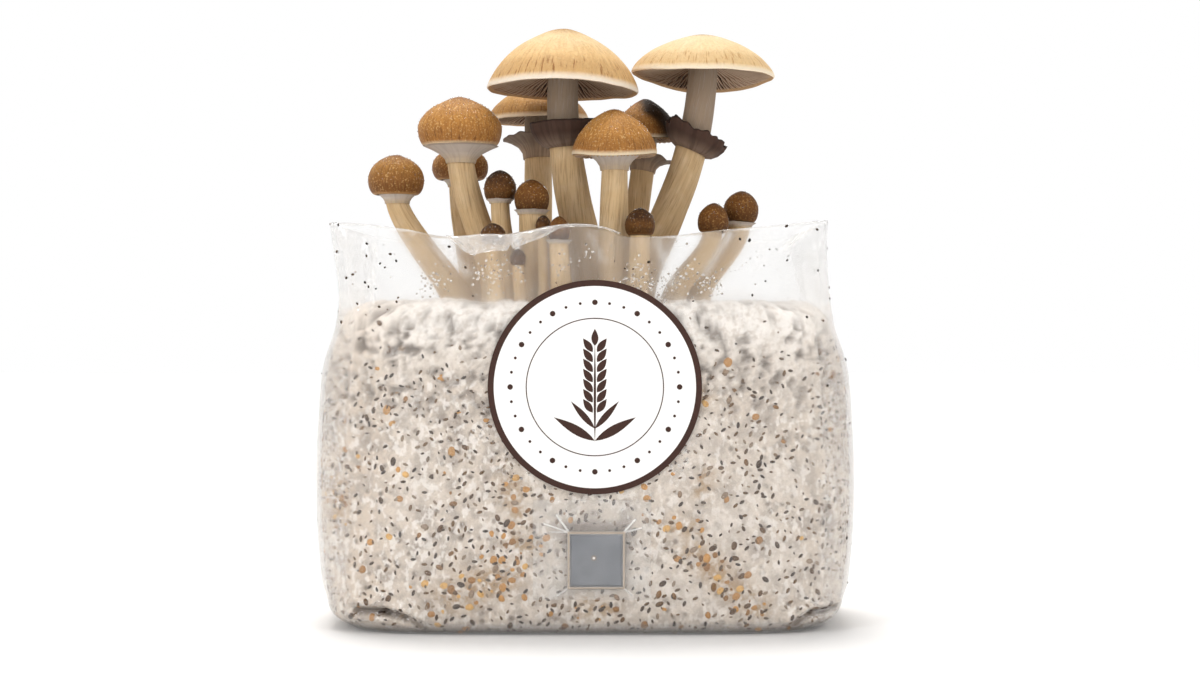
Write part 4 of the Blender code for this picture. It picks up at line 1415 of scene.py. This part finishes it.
def crown_of(mushroom):
    """Where a cap sits, read from its CAD node: the middle of its margin plane, its radius and
    height in millimetres about the bag's axis, and its axis."""
    low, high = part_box(f"cap_{mushroom.number:02d}")
    lean = math.radians(mushroom.lean)
    radius = 0.5 * (high.x - low.x) / MM
    drop = radius * math.sin(abs(lean))
    if CAP_FORMS[mushroom.form].hollow > 0:
        drop += MARGIN_DROP
    middle = (low + high) / 2
    place = np.array([middle.x / MM, (middle.y - BAG_AXIS_Y) / MM, low.z / MM + drop])
    axis = np.array([math.sin(lean), 0.0, math.cos(lean)])
    height = high.z / MM - place[2]
    place[0] -= 0.5 * height * math.sin(lean)
    return Crown(place, radius, height, axis)


def axes_about(axis):
    """Two directions square to an axis, the first nearest +X."""
    first = np.array([1.0, 0, 0]) - axis * axis[0]
    first /= np.linalg.norm(first)
    return first, np.cross(axis, first)


def dome_height(form, height, share):
    """Height of the cap's outer face above its margin plane, by share of its radius."""
    floor = form.widest * height
    dome = np.maximum(0.0, 1 - share ** 2) ** form.rise
    point = form.point * np.exp(-(share / 0.32) ** 2)
    return floor + (height - floor) * (dome * (1 - form.point) + point)


def under_height(form, height, inner, share):
    """Height of the underside above the margin plane, by share of its radius."""
    return form.hollow * height * ease(share, 1.02, inner) ** 0.8


def cap_lines(mushroom, crown, steps):
    """A cap's outline from its tip over the margin and back under it to the axis: radius and
    height in millimetres, span (0 at the tip, 1 at the margin, then back) and if it's gills."""
    form = CAP_FORMS[mushroom.form]
    radius, height = crown.radius, crown.height
    floor = form.widest * height
    share = np.sin(0.5 * math.pi * np.linspace(0, 1, steps + 1) ** 0.92)
    skin = [(radius * s, float(dome_height(form, height, s))) for s in share]
    if form.widest > 0.1:
        for turn in np.linspace(0, 0.5 * math.pi, 9)[1:]:
            tuck = form.margin + (1 - form.margin) * math.cos(turn)
            skin.append((radius * tuck, floor * (1 - math.sin(turn))))
        outer = form.margin
    else:
        skin += [(radius * 0.994, floor - 0.35), (radius * 0.985, floor - 0.5)]
        outer = 0.97
    skin = np.array(skin)
    run = np.cumsum(np.hypot(*np.diff(skin, axis=0, prepend=skin[:1]).T))
    line = [(r, h, span, 0) for (r, h), span in zip(skin, run / run[-1])]
    inner = (mushroom.top_radius - 0.4) / radius
    line.append((radius * outer, floor - 0.35 if form.hollow else 0.0, 0.99, 1))
    for s in np.linspace(outer, inner, 14)[1:]:
        line.append((radius * s, float(under_height(form, height, inner, s)), s, 1))
    line.append((0.0, float(form.hollow * height), 0.0, 1))
    return line


def turned_surface(line, columns):
    """Grid of a turned outline: angles, radii, heights and spans, one row for each point."""
    radius, height, span = np.array(line, float)[:, :3].T[..., None]
    return angles_round(columns), radius, height, span


def stand_on(place, axis, local):
    """Points about a place, from their distances along its two cross directions and its
    axis."""
    first, second = axes_about(axis)
    return place + local[..., :1] * first + local[..., 1:2] * second + local[..., 2:] * axis


def wrap_faces(rows, columns, line_kinds):
    """Faces of a turned solid with a pole at each end, and each face's material."""
    faces, kinds = [], []
    top, bottom = 0, 1 + (rows - 2) * columns
    for j in range(columns):
        faces.append((top, 1 + j, 1 + (j + 1) % columns))
        kinds.append(line_kinds[1])
    for i in range(rows - 3):
        a = 1 + i * columns
        for j in range(columns):
            k = (j + 1) % columns
            faces.append((a + j, a + columns + j, a + columns + k, a + k))
            kinds.append(line_kinds[i + 2])
    a = 1 + (rows - 3) * columns
    for j in range(columns):
        faces.append((a + j, bottom, a + (j + 1) % columns))
        kinds.append(line_kinds[-1])
    return faces, kinds


def with_poles(grid):
    """Flatten a turned grid of points or values, keeping one of its first and last rows."""
    middle = grid[1:-1].reshape(-1, *grid.shape[2:])
    return np.concatenate([grid[0, :1], middle, grid[-1, :1]])


def margin_wave(mushroom, crown, angle, share):
    """How far a cap's margin waves up and down, in millimetres."""
    form = CAP_FORMS[mushroom.form]
    droop = DROOPS.get(mushroom.number, Droop(0, 0, 0, 0))
    across, back = np.cos(angle), np.sin(angle)
    hang = (droop.right * np.maximum(across, 0) ** 2 + droop.left * np.minimum(across, 0) ** 2
            + droop.back * np.maximum(back, 0) ** 2 + droop.front * np.minimum(back, 0) ** 2)
    circle = points_round(angle)
    wave = soft_noise(circle, 0.8, mushroom.number)
    wave = wave + 0.4 * soft_noise(circle, 0.3, mushroom.number + 40)
    return form.wave * crown.radius * wave * share ** 4 - hang * share ** 3


def darkening_of(mushroom, x, share, points):
    """How dark a cap is made, from 0 to 1, by place across it to the right and distance from
    its tip, both as shares of its radius: spore dust on most, and mushroom 7 darker to its right."""
    rough = 0.22 * soft_noise(points, 8.0, 83)
    if mushroom.number == 9:
        return 0.95 * ease(x + rough, -0.45, 0.1) * ease(share - 0.5 * x, 0.88, 0.62)
    # Mushroom 7: darker towards its right side.
    if mushroom.number == 7:
        return 0.6 * ease(x + rough - 0.4 * share, -0.1, 0.45) * ease(share, 1.0, 0.75)
    if mushroom.number == 4:
        return 0.75 * ease(share + rough, 0.85, 0.45)
    if mushroom.number in (6, 10):
        return 0.35 * ease(share + 0.2 * rough, 0.07, 0.02)
    return 0 * share


def build_caps(context):
    """The caps with their skins, dark patches, dew and, under the open ones, gills."""
    mushrooms = context.scene.grow_bag_mushrooms
    skins = {name: cap_skin_material(name, shades) for name, shades in SKINS.items()}
    gills = gill_material(mushrooms.gills)
    water = water_material("dew")
    for mushroom in MUSHROOMS:
        crown = crown_of(mushroom)
        columns = 128 if crown.radius > 15 else 72
        line = cap_lines(mushroom, crown, 34 if crown.radius > 15 else 22)
        angle, radius, height, span = turned_surface(line, columns)
        share = radius / crown.radius
        wave = margin_wave(mushroom, crown, angle, share)
        ball = points_round(angle, share, height / crown.radius)
        swell = 1 + 0.018 * soft_noise(ball, 0.9, mushroom.number + 7)
        swell = swell + 0.004 * soft_noise(ball, 0.16, mushroom.number + 9) * (share > 0.05)
        local = np.stack([radius * np.cos(angle) * swell, radius * np.sin(angle) * swell,
                          height * swell + wave], -1)
        grid = stand_on(crown.place, crown.axis, local)
        faces, kinds = wrap_faces(len(line), columns, [row[3] for row in line])
        name = f"mushroom_cap_{mushroom.number:02d}"
        materials = [skins[mushroom.skin], gills]
        mesh = make_mesh(name, in_frame(with_poles(grid)), faces, materials, kinds)
        spans = with_poles(span + 0 * angle)
        add_values(mesh, "span", spans)
        turned = points_round(angle + 0 * share, 1.0, span + mushroom.number)
        add_values(mesh, "turned", with_poles(turned))
        stain = darkening_of(mushroom, np.cos(angle) * share, share + 0 * angle, grid)
        add_values(mesh, "stain", with_poles(stain))
        # The whole underside takes the gills' painted shade.
        add_values(mesh, "edge", np.full(len(mesh.vertices), -0.3))
        if crown.radius < 20:
            dewy = ease(spans, 0.85, 0.5) * (with_poles(height + 0 * angle) > 1)
            dew = strew(f"dew_{mushroom.number:02d}", mesh, dewy, water, density=170000,
                        seed=mushroom.number, smallest=0.3 * MM, largest=0.8 * MM,
                        width_share=1.0, thickness_share=0.8, lift=0.08 * MM, segments=6,
                        rings=4)
            hand_over(dew, "cap")
        hand_over(add_object(name, mesh), "cap", f"cap_{mushroom.number:02d}")
        if CAP_FORMS[mushroom.form].hollow > 0:
            hang_gills(mushroom, crown, gills, mushrooms)


def gill_blade(mushroom, crown, start, end, depth):
    """One gill from share start to share end of the cap's radius, in metres about the crown."""
    form = CAP_FORMS[mushroom.form]
    inner = (mushroom.top_radius - 0.4) / crown.radius
    points, spans, edges = [], [], []
    steps = 9
    for share in np.linspace(start, end, steps + 1):
        r = crown.radius * share
        roof = float(under_height(form, crown.height, inner, share))
        hang = depth * math.sin(math.pi * min(1.0, max(0.02, (share - start) / (end - start))))
        hang = max(0.15, hang ** 0.7)
        half = 0.1 + 0.3 * share
        for y, z, edge in ((-half, roof + 0.1, 0), (half, roof + 0.1, 0), (0, roof - hang, 1)):
            points.append((r * MM, y * MM, z * MM))
            spans.append(share)
            edges.append(edge)
    faces = [(0, 1, 2), (3 * steps, 3 * steps + 2, 3 * steps + 1)]
    for i in range(steps):
        a = 3 * i
        for u, v in ((0, 1), (1, 2), (2, 0)):
            faces.append((a + v, a + u, a + 3 + u, a + 3 + v))
    mesh = make_mesh("gill", np.array(points), faces, [])
    add_values(mesh, "span", spans)
    add_values(mesh, "edge", edges)
    return mesh


def hang_gills(mushroom, crown, material, mushrooms):
    """Full gills with shorter ones between them, all round an open cap."""
    tree = bpy.data.node_groups.get("Gills Round A Cap") or gill_tree()
    count = round(2 * math.pi * crown.radius * MM / mushrooms.gill_pitch)
    depth = mushrooms.gill_depth / MM * min(1.0, crown.radius / 30)
    inner = mushroom.top_radius / crown.radius
    sets = ((inner, 0.965, 0.0, depth), (0.5 + 0.5 * inner, 0.965, 0.5, 0.8 * depth))
    made = []
    for start, end, phase, hang in sets:
        blade = gill_blade(mushroom, crown, start, end, hang)
        gill = add_object("gills", blade)
        made.append(run_tree(gill, tree, count=count, start_angle=phase * 2 * math.pi / count,
                             wobble=0.12 * 2 * math.pi / count, seed=mushroom.number,
                             material=material))
    form = bmesh.new()
    for gill in made:
        form.from_mesh(gill.data)
    name = f"gills_{mushroom.number:02d}"
    mesh = drawn(name, form)
    mesh.materials.append(material)
    for gill in made:
        bpy.data.objects.remove(gill)
    local = np.array([vert.co for vert in mesh.vertices]) / MM
    angle = np.arctan2(local[:, 1], local[:, 0])
    share = np.hypot(local[:, 0], local[:, 1]) / crown.radius
    local[:, 2] += margin_wave(mushroom, crown, angle, share)
    placed = in_frame(stand_on(crown.place, crown.axis, local))
    mesh.vertices.foreach_set("co", placed.ravel())
    hand_over(add_object(name, mesh), "cap")


STEM_SINK = 2.0            # mm that a stem's foot reaches into the mycelium


def stem_ends(mushroom):
    """Where a stem's foot and top are, in millimetres, and its cap's crown."""
    low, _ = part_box(f"stem_{mushroom.number:02d}")
    foot = np.array([*mushroom.foot, low.z / MM])
    crown = crown_of(mushroom)
    hollow = CAP_FORMS[mushroom.form].hollow * crown.height
    return foot, crown.place + crown.axis * hollow, crown


def stem_line(mushroom, t):
    """Points on the stem's centre line: upright at the foot and square to the cap at the top."""
    foot, top, crown = stem_ends(mushroom)
    length = np.linalg.norm(top - foot)
    from_foot = foot + np.array([0, 0, length * mushroom.foot_hold])
    to_top = top - crown.axis * length * mushroom.crown_hold
    t = np.asarray(t, float)[..., None]
    s = 1 - t
    return foot * s ** 3 + from_foot * 3 * s * s * t + to_top * 3 * s * t * t + top * t ** 3


def stem_radius(mushroom, t):
    """The stem's plain radius at a share of its length, in millimetres."""
    return mushroom.foot_radius + (mushroom.top_radius - mushroom.foot_radius) * t


def ring_share(mushroom, height):
    """The share of the stem's length at which it reaches a height, in millimetres."""
    t = np.linspace(0, 1, 400)
    return float(np.interp(height, stem_line(mushroom, t)[:, 2], t))


def build_stems(context):
    """The stems: bent, swollen at the foot, with fibres wound round them."""
    mushrooms = context.scene.grow_bag_mushrooms
    material = stem_material(mushrooms)
    greyed = {look.number for look in RINGS if look.kind != "veil"}
    for mushroom in MUSHROOMS:
        big = mushroom.foot_radius > 5.5
        rows, columns = (90, 96) if big else (50, 56)
        t = np.linspace(0, 1, rows)
        centre = stem_line(mushroom, t)
        along = np.gradient(centre, axis=0)
        along /= np.linalg.norm(along, axis=1, keepdims=True)
        pieces = np.linalg.norm(np.diff(centre, axis=0), axis=1)
        length = np.concatenate([[0], np.cumsum(pieces)])
        first = np.array([1.0, 0, 0]) - along * along[:, :1]
        first /= np.linalg.norm(first, axis=1, keepdims=True)
        second = np.cross(along, first)
        angle = angles_round(columns)
        twist = angle + 0.012 * length[:, None] * (1 if mushroom.number % 2 else -1)
        wound = points_round(twist, 1.0, length[:, None] / 10 + mushroom.number)
        radius = stem_radius(mushroom, t)[:, None]
        fibres = soft_noise(wound * np.array([1, 1, 0.06]),
                            mushrooms.fibre_pitch / MM / mushroom.foot_radius * 2.2, 11)
        lumps = soft_noise(wound * np.array([0.6, 0.6, 0.5]), 0.9, mushroom.number + 3)
        foot = np.exp(-length[:, None] / (0.9 * mushroom.foot_radius))
        reach = radius * (1 + 0.035 * lumps + 0.16 * foot) + 0.22 * fibres * (1 - 0.5 * foot)
        grid = (centre[:, None] + first[:, None] * (np.cos(angle) * reach)[..., None]
                + second[:, None] * (np.sin(angle) * reach)[..., None])
        grid[0, :, 2] -= STEM_SINK
        ends = np.stack([centre[0] - [0, 0, STEM_SINK], centre[-1]])
        points = np.concatenate([grid.reshape(-1, 3), ends])
        faces = closed_grid(rows, columns)
        faces += fan(list(range(columns)), rows * columns, False)
        faces += fan([(rows - 1) * columns + j for j in range(columns)],
                     rows * columns + 1, True)
        name = f"mushroom_stem_{mushroom.number:02d}"
        mesh = make_mesh(name, in_frame(points), faces, [material])
        add_values(mesh, "wound", np.concatenate([wound.reshape(-1, 3), wound[[0, -1], 0]]))
        split = 2.0        # past the stem's end, so that none of it is greyed
        if mushroom.number in greyed:
            split = ring_share(mushroom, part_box(f"ring_{mushroom.number:02d}")[0].z / MM + 3)
        above = np.broadcast_to(ease(t, split - 0.01, split + 0.01)[:, None], (rows, columns))
        add_values(mesh, "above_ring", np.append(above.ravel(), [0, 0]))
        down = np.broadcast_to(foot, (rows, columns)).ravel()
        add_values(mesh, "foot", np.append(down, [1, 0]))
        hand_over(add_object(name, mesh), "stem", f"stem_{mushroom.number:02d}")


# Height share and flare share of a ring's skirt, from its collar to its torn edge.
RING_FORMS = {
    "veil": ((0, 0), (0.25, 0.06), (0.55, 0.3), (0.8, 0.66), (1, 1)),
    "grey": ((0, 0), (0.3, 0.05), (0.6, 0.3), (0.82, 0.72), (0.95, 1.05), (1, 1.2)),
    "dark": ((0, 0), (0.1, 0.35), (0.32, 0.68), (0.62, 0.92), (0.88, 1.0), (1, 0.99)),
}
RING_WALL = 0.45           # mm


def build_rings():
    """The torn rings: thin funnels round the stems, ragged and pleated towards their edges."""
    materials = {
        "dark": ring_material("dark", "#806D5F", "#46332A", "#251711"),
        "grey": ring_material("grey", "#9E8872", "#7E7064", "#4E3F36"),
        "veil": ring_material("veil", "#B7A389", "#B9ADA3", "#9C8E83"),
    }
    by_number = {mushroom.number: mushroom for mushroom in MUSHROOMS}
    for look in RINGS:
        mushroom = by_number[look.number]
        node = f"ring_{look.number:02d}"
        low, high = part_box(node)
        t = ring_share(mushroom, low.z / MM + 1.0)
        base = stem_line(mushroom, t)
        axis = stem_line(mushroom, min(1, t + 0.03)) - stem_line(mushroom, t - 0.03)
        axis /= np.linalg.norm(axis)
        if look.kind == "veil":
            axis = crown_of(mushroom).axis
        size = (high - low) / MM
        flare = 0.5 * size.y * look.spread
        length = size.z - 2 * flare * math.sin(math.acos(min(1.0, axis[2])))
        length = max(length, 0.5 * size.z)
        bore = float(stem_radius(mushroom, t)) + 0.15
        rows, columns = 26, 120
        v = np.linspace(0, 1, rows)[:, None]
        angle = angles_round(columns)
        rise, spread = zip(*RING_FORMS[look.kind])
        circle = points_round(angle)
        torn = rough_noise(circle, 0.5, look.number, 2)
        droop = soft_noise(circle, 1.1, look.number + 20)
        pleat = soft_noise(circle, 0.32, look.number + 30)
        tall = np.interp(v, np.linspace(0, 1, len(rise)), rise)
        wide = np.interp(v, np.linspace(0, 1, len(spread)), spread)
        up = length * tall * (1 + look.ragged * (0.8 * torn + 1.2 * droop) * v)
        up = up - 0.5 * look.sag * length * np.cos(angle) * (0.3 + 0.7 * v)
        reach = bore + (flare - bore) * wide * (1 + 1.2 * look.ragged * torn * v)
        reach = reach + look.pleat * pleat * v * (1.2 - 0.5 * v)
        wall = RING_WALL * (1 - 0.6 * v)
        outer = stand_on(base, axis, points_round(angle, reach + wall, up - 0.3 * wall))
        inner = stand_on(base, axis, points_round(angle, reach, up))
        points = np.concatenate([outer, inner[::-1]]).reshape(-1, 3)
        spans = np.concatenate([v, v[::-1]]) + 0 * angle
        faces = closed_grid(2 * rows, columns)
        last = (2 * rows - 1) * columns
        for j in range(columns):
            k = (j + 1) % columns
            faces.append((last + j, last + k, k, j))
        name = f"mushroom_ring_{look.number:02d}"
        mesh = make_mesh(name, in_frame(points), faces, [materials[look.kind]])
        add_values(mesh, "span", spans.ravel())
        turned = points_round(angle + 0 * spans, 1.0, spans + look.number)
        add_values(mesh, "turned", turned.reshape(-1, 3))
        hand_over(add_object(name, mesh), "ring", node)


# ---- stage -----------------------------------------------------------------------------------

CAMERA_PLACE = (6.4 * MM, BAG_AXIS_Y - 885 * MM, 123.3 * MM)
LAMP_TARGET = (0, 0, 0.12)
SKY_ON_SURFACES = 0.55     # strength of the sky where it lights things; it looks full white


def add_lamp(name, kind, energy, colour, place, **settings):
    """A lamp that points at the middle of the bag."""
    lamp = bpy.data.lights.new(name, kind)
    lamp.energy = energy
    lamp.color = linear(colour)
    for key, value in settings.items():
        setattr(lamp, key, value)
    thing = add_object(name, lamp)
    thing.location = place
    aim = Vector(LAMP_TARGET) - Vector(place)
    thing.rotation_euler = aim.to_track_quat("-Z", "Y").to_euler()


def build_stage(context):
    """A wide white floor, soft light all round with a key light from above, and the camera."""
    scene = context.scene
    form = bmesh.new()
    bmesh.ops.create_grid(form, x_segments=8, y_segments=8, size=6.0)
    mesh = drawn("studio_floor", form)
    mesh.materials.append(floor_material())
    floor = add_object("studio_floor", mesh)
    world = bpy.data.worlds.new("studio_light")
    scene.world = world
    world.use_nodes = True
    tree = world.node_tree
    seen = add_node(tree, "ShaderNodeLightPath")
    strength = add_node(tree, "ShaderNodeMapRange", {
        "Value": seen.outputs["Is Diffuse Ray"], "To Min": 1.0,
        "To Max": SKY_ON_SURFACES})
    tree.nodes["Background"].inputs["Color"].default_value = (1, 1, 1, 1)
    tree.links.new(strength.outputs[0], tree.nodes["Background"].inputs["Strength"])
    softbox = {"shape": "RECTANGLE", "size": 0.25, "size_y": 0.8}
    add_lamp("overhead_light", "SUN", 1.9, "#FFFDFA", (-0.1, 0.38, 1.3),
             angle=math.radians(26))
    add_lamp("left_softbox", "AREA", 4.2, "#FFFFFF", (-0.75, -0.9, 0.55), **softbox)
    add_lamp("right_softbox", "AREA", 2.8, "#FFFFFF", (0.8, -0.8, 0.6), **softbox)
    lens = bpy.data.cameras.new("camera")
    lens.lens = 60
    lens.sensor_width = 36
    camera = add_object("camera", lens)
    camera.location = CAMERA_PLACE
    camera.rotation_euler = (math.radians(90), 0, 0)
    scene.camera = camera
    scene.view_settings.view_transform = "Standard"


# ---- add-on ----------------------------------------------------------------------------------

class StageOperator(bpy.types.Operator):
    """Set the floor, the light and the camera"""
    bl_idname = "growbag.stage"
    bl_label = "Stage"

    def execute(self, context):
        build_stage(context)
        return {"FINISHED"}


class BlockOperator(bpy.types.Operator):
    """Make the block of mycelium"""
    bl_idname = "growbag.block"
    bl_label = "Block"

    def execute(self, context):
        build_block(context)
        return {"FINISHED"}


class GrainOperator(bpy.types.Operator):
    """Set the seeds and grains in the block's sides"""
    bl_idname = "growbag.grain"
    bl_label = "Grain"

    def execute(self, context):
        build_grain(context)
        return {"FINISHED"}


class FilmOperator(bpy.types.Operator):
    """Make the clear film bag"""
    bl_idname = "growbag.film"
    bl_label = "Film"

    def execute(self, context):
        build_film(context)
        return {"FINISHED"}


class CondensationOperator(bpy.types.Operator):
    """Put beads of water and specks of dirt on the film"""
    bl_idname = "growbag.condensation"
    bl_label = "Condensation"

    def execute(self, context):
        build_condensation(context)
        return {"FINISHED"}


class LabelOperator(bpy.types.Operator):
    """Make the round label"""
    bl_idname = "growbag.label"
    bl_label = "Label"

    def execute(self, context):
        build_label(context)
        return {"FINISHED"}


class PortOperator(bpy.types.Operator):
    """Make the injection port and its patch"""
    bl_idname = "growbag.port"
    bl_label = "Port and Patch"

    def execute(self, context):
        build_port(context)
        return {"FINISHED"}


class StemsOperator(bpy.types.Operator):
    """Make the stems"""
    bl_idname = "growbag.stems"
    bl_label = "Stems"

    def execute(self, context):
        build_stems(context)
        return {"FINISHED"}


class CapsOperator(bpy.types.Operator):
    """Make the caps and their gills"""
    bl_idname = "growbag.caps"
    bl_label = "Caps"

    def execute(self, context):
        build_caps(context)
        return {"FINISHED"}


class RingsOperator(bpy.types.Operator):
    """Make the rings and veils"""
    bl_idname = "growbag.rings"
    bl_label = "Rings"

    def execute(self, context):
        build_rings()
        return {"FINISHED"}


OPERATORS = (
    StageOperator, BlockOperator, GrainOperator, FilmOperator, CondensationOperator,
    LabelOperator, PortOperator, StemsOperator, CapsOperator, RingsOperator,
)


class GrowBagPanel(bpy.types.Panel):
    """The grow bag's settings, and a button for each of its pieces"""
    bl_idname = "VIEW3D_PT_grow_bag"
    bl_label = "Grow Bag"
    bl_space_type = "VIEW_3D"
    bl_region_type = "UI"
    bl_category = "Grow Bag"

    def draw(self, context):
        """Draw the settings and the buttons."""
        layout = self.layout
        for settings in (context.scene.grow_bag_film, context.scene.grow_bag_block,
                         context.scene.grow_bag_mushrooms):
            column = layout.column(align=True)
            for name in settings.__annotations__:
                column.prop(settings, name)
        for operator in OPERATORS:
            layout.operator(operator.bl_idname)


PROPERTY_GROUPS = {
    "grow_bag_film": GrowBagFilm,
    "grow_bag_block": GrowBagBlock,
    "grow_bag_mushrooms": GrowBagMushrooms,
}


def register():
    """Add the settings, the buttons and the panel."""
    for group in PROPERTY_GROUPS.values():
        bpy.utils.register_class(group)
    for name, group in PROPERTY_GROUPS.items():
        setattr(bpy.types.Scene, name, bpy.props.PointerProperty(type=group))
    for operator in OPERATORS:
        bpy.utils.register_class(operator)
    bpy.utils.register_class(GrowBagPanel)


def unregister():
    """Take the panel, the buttons and the settings away again."""
    bpy.utils.unregister_class(GrowBagPanel)
    for operator in reversed(OPERATORS):
        bpy.utils.unregister_class(operator)
    for name in PROPERTY_GROUPS:
        delattr(bpy.types.Scene, name)
    for group in PROPERTY_GROUPS.values():
        bpy.utils.unregister_class(group)


def main():
    """Build the stage and every piece."""
    register()
    bpy.ops.growbag.stage()
    bpy.ops.growbag.block()
    bpy.ops.growbag.grain()
    bpy.ops.growbag.film()
    bpy.ops.growbag.condensation()
    bpy.ops.growbag.label()
    bpy.ops.growbag.port()
    bpy.ops.growbag.stems()
    bpy.ops.growbag.caps()
    bpy.ops.growbag.rings()


if __name__ == "__main__":
    main()
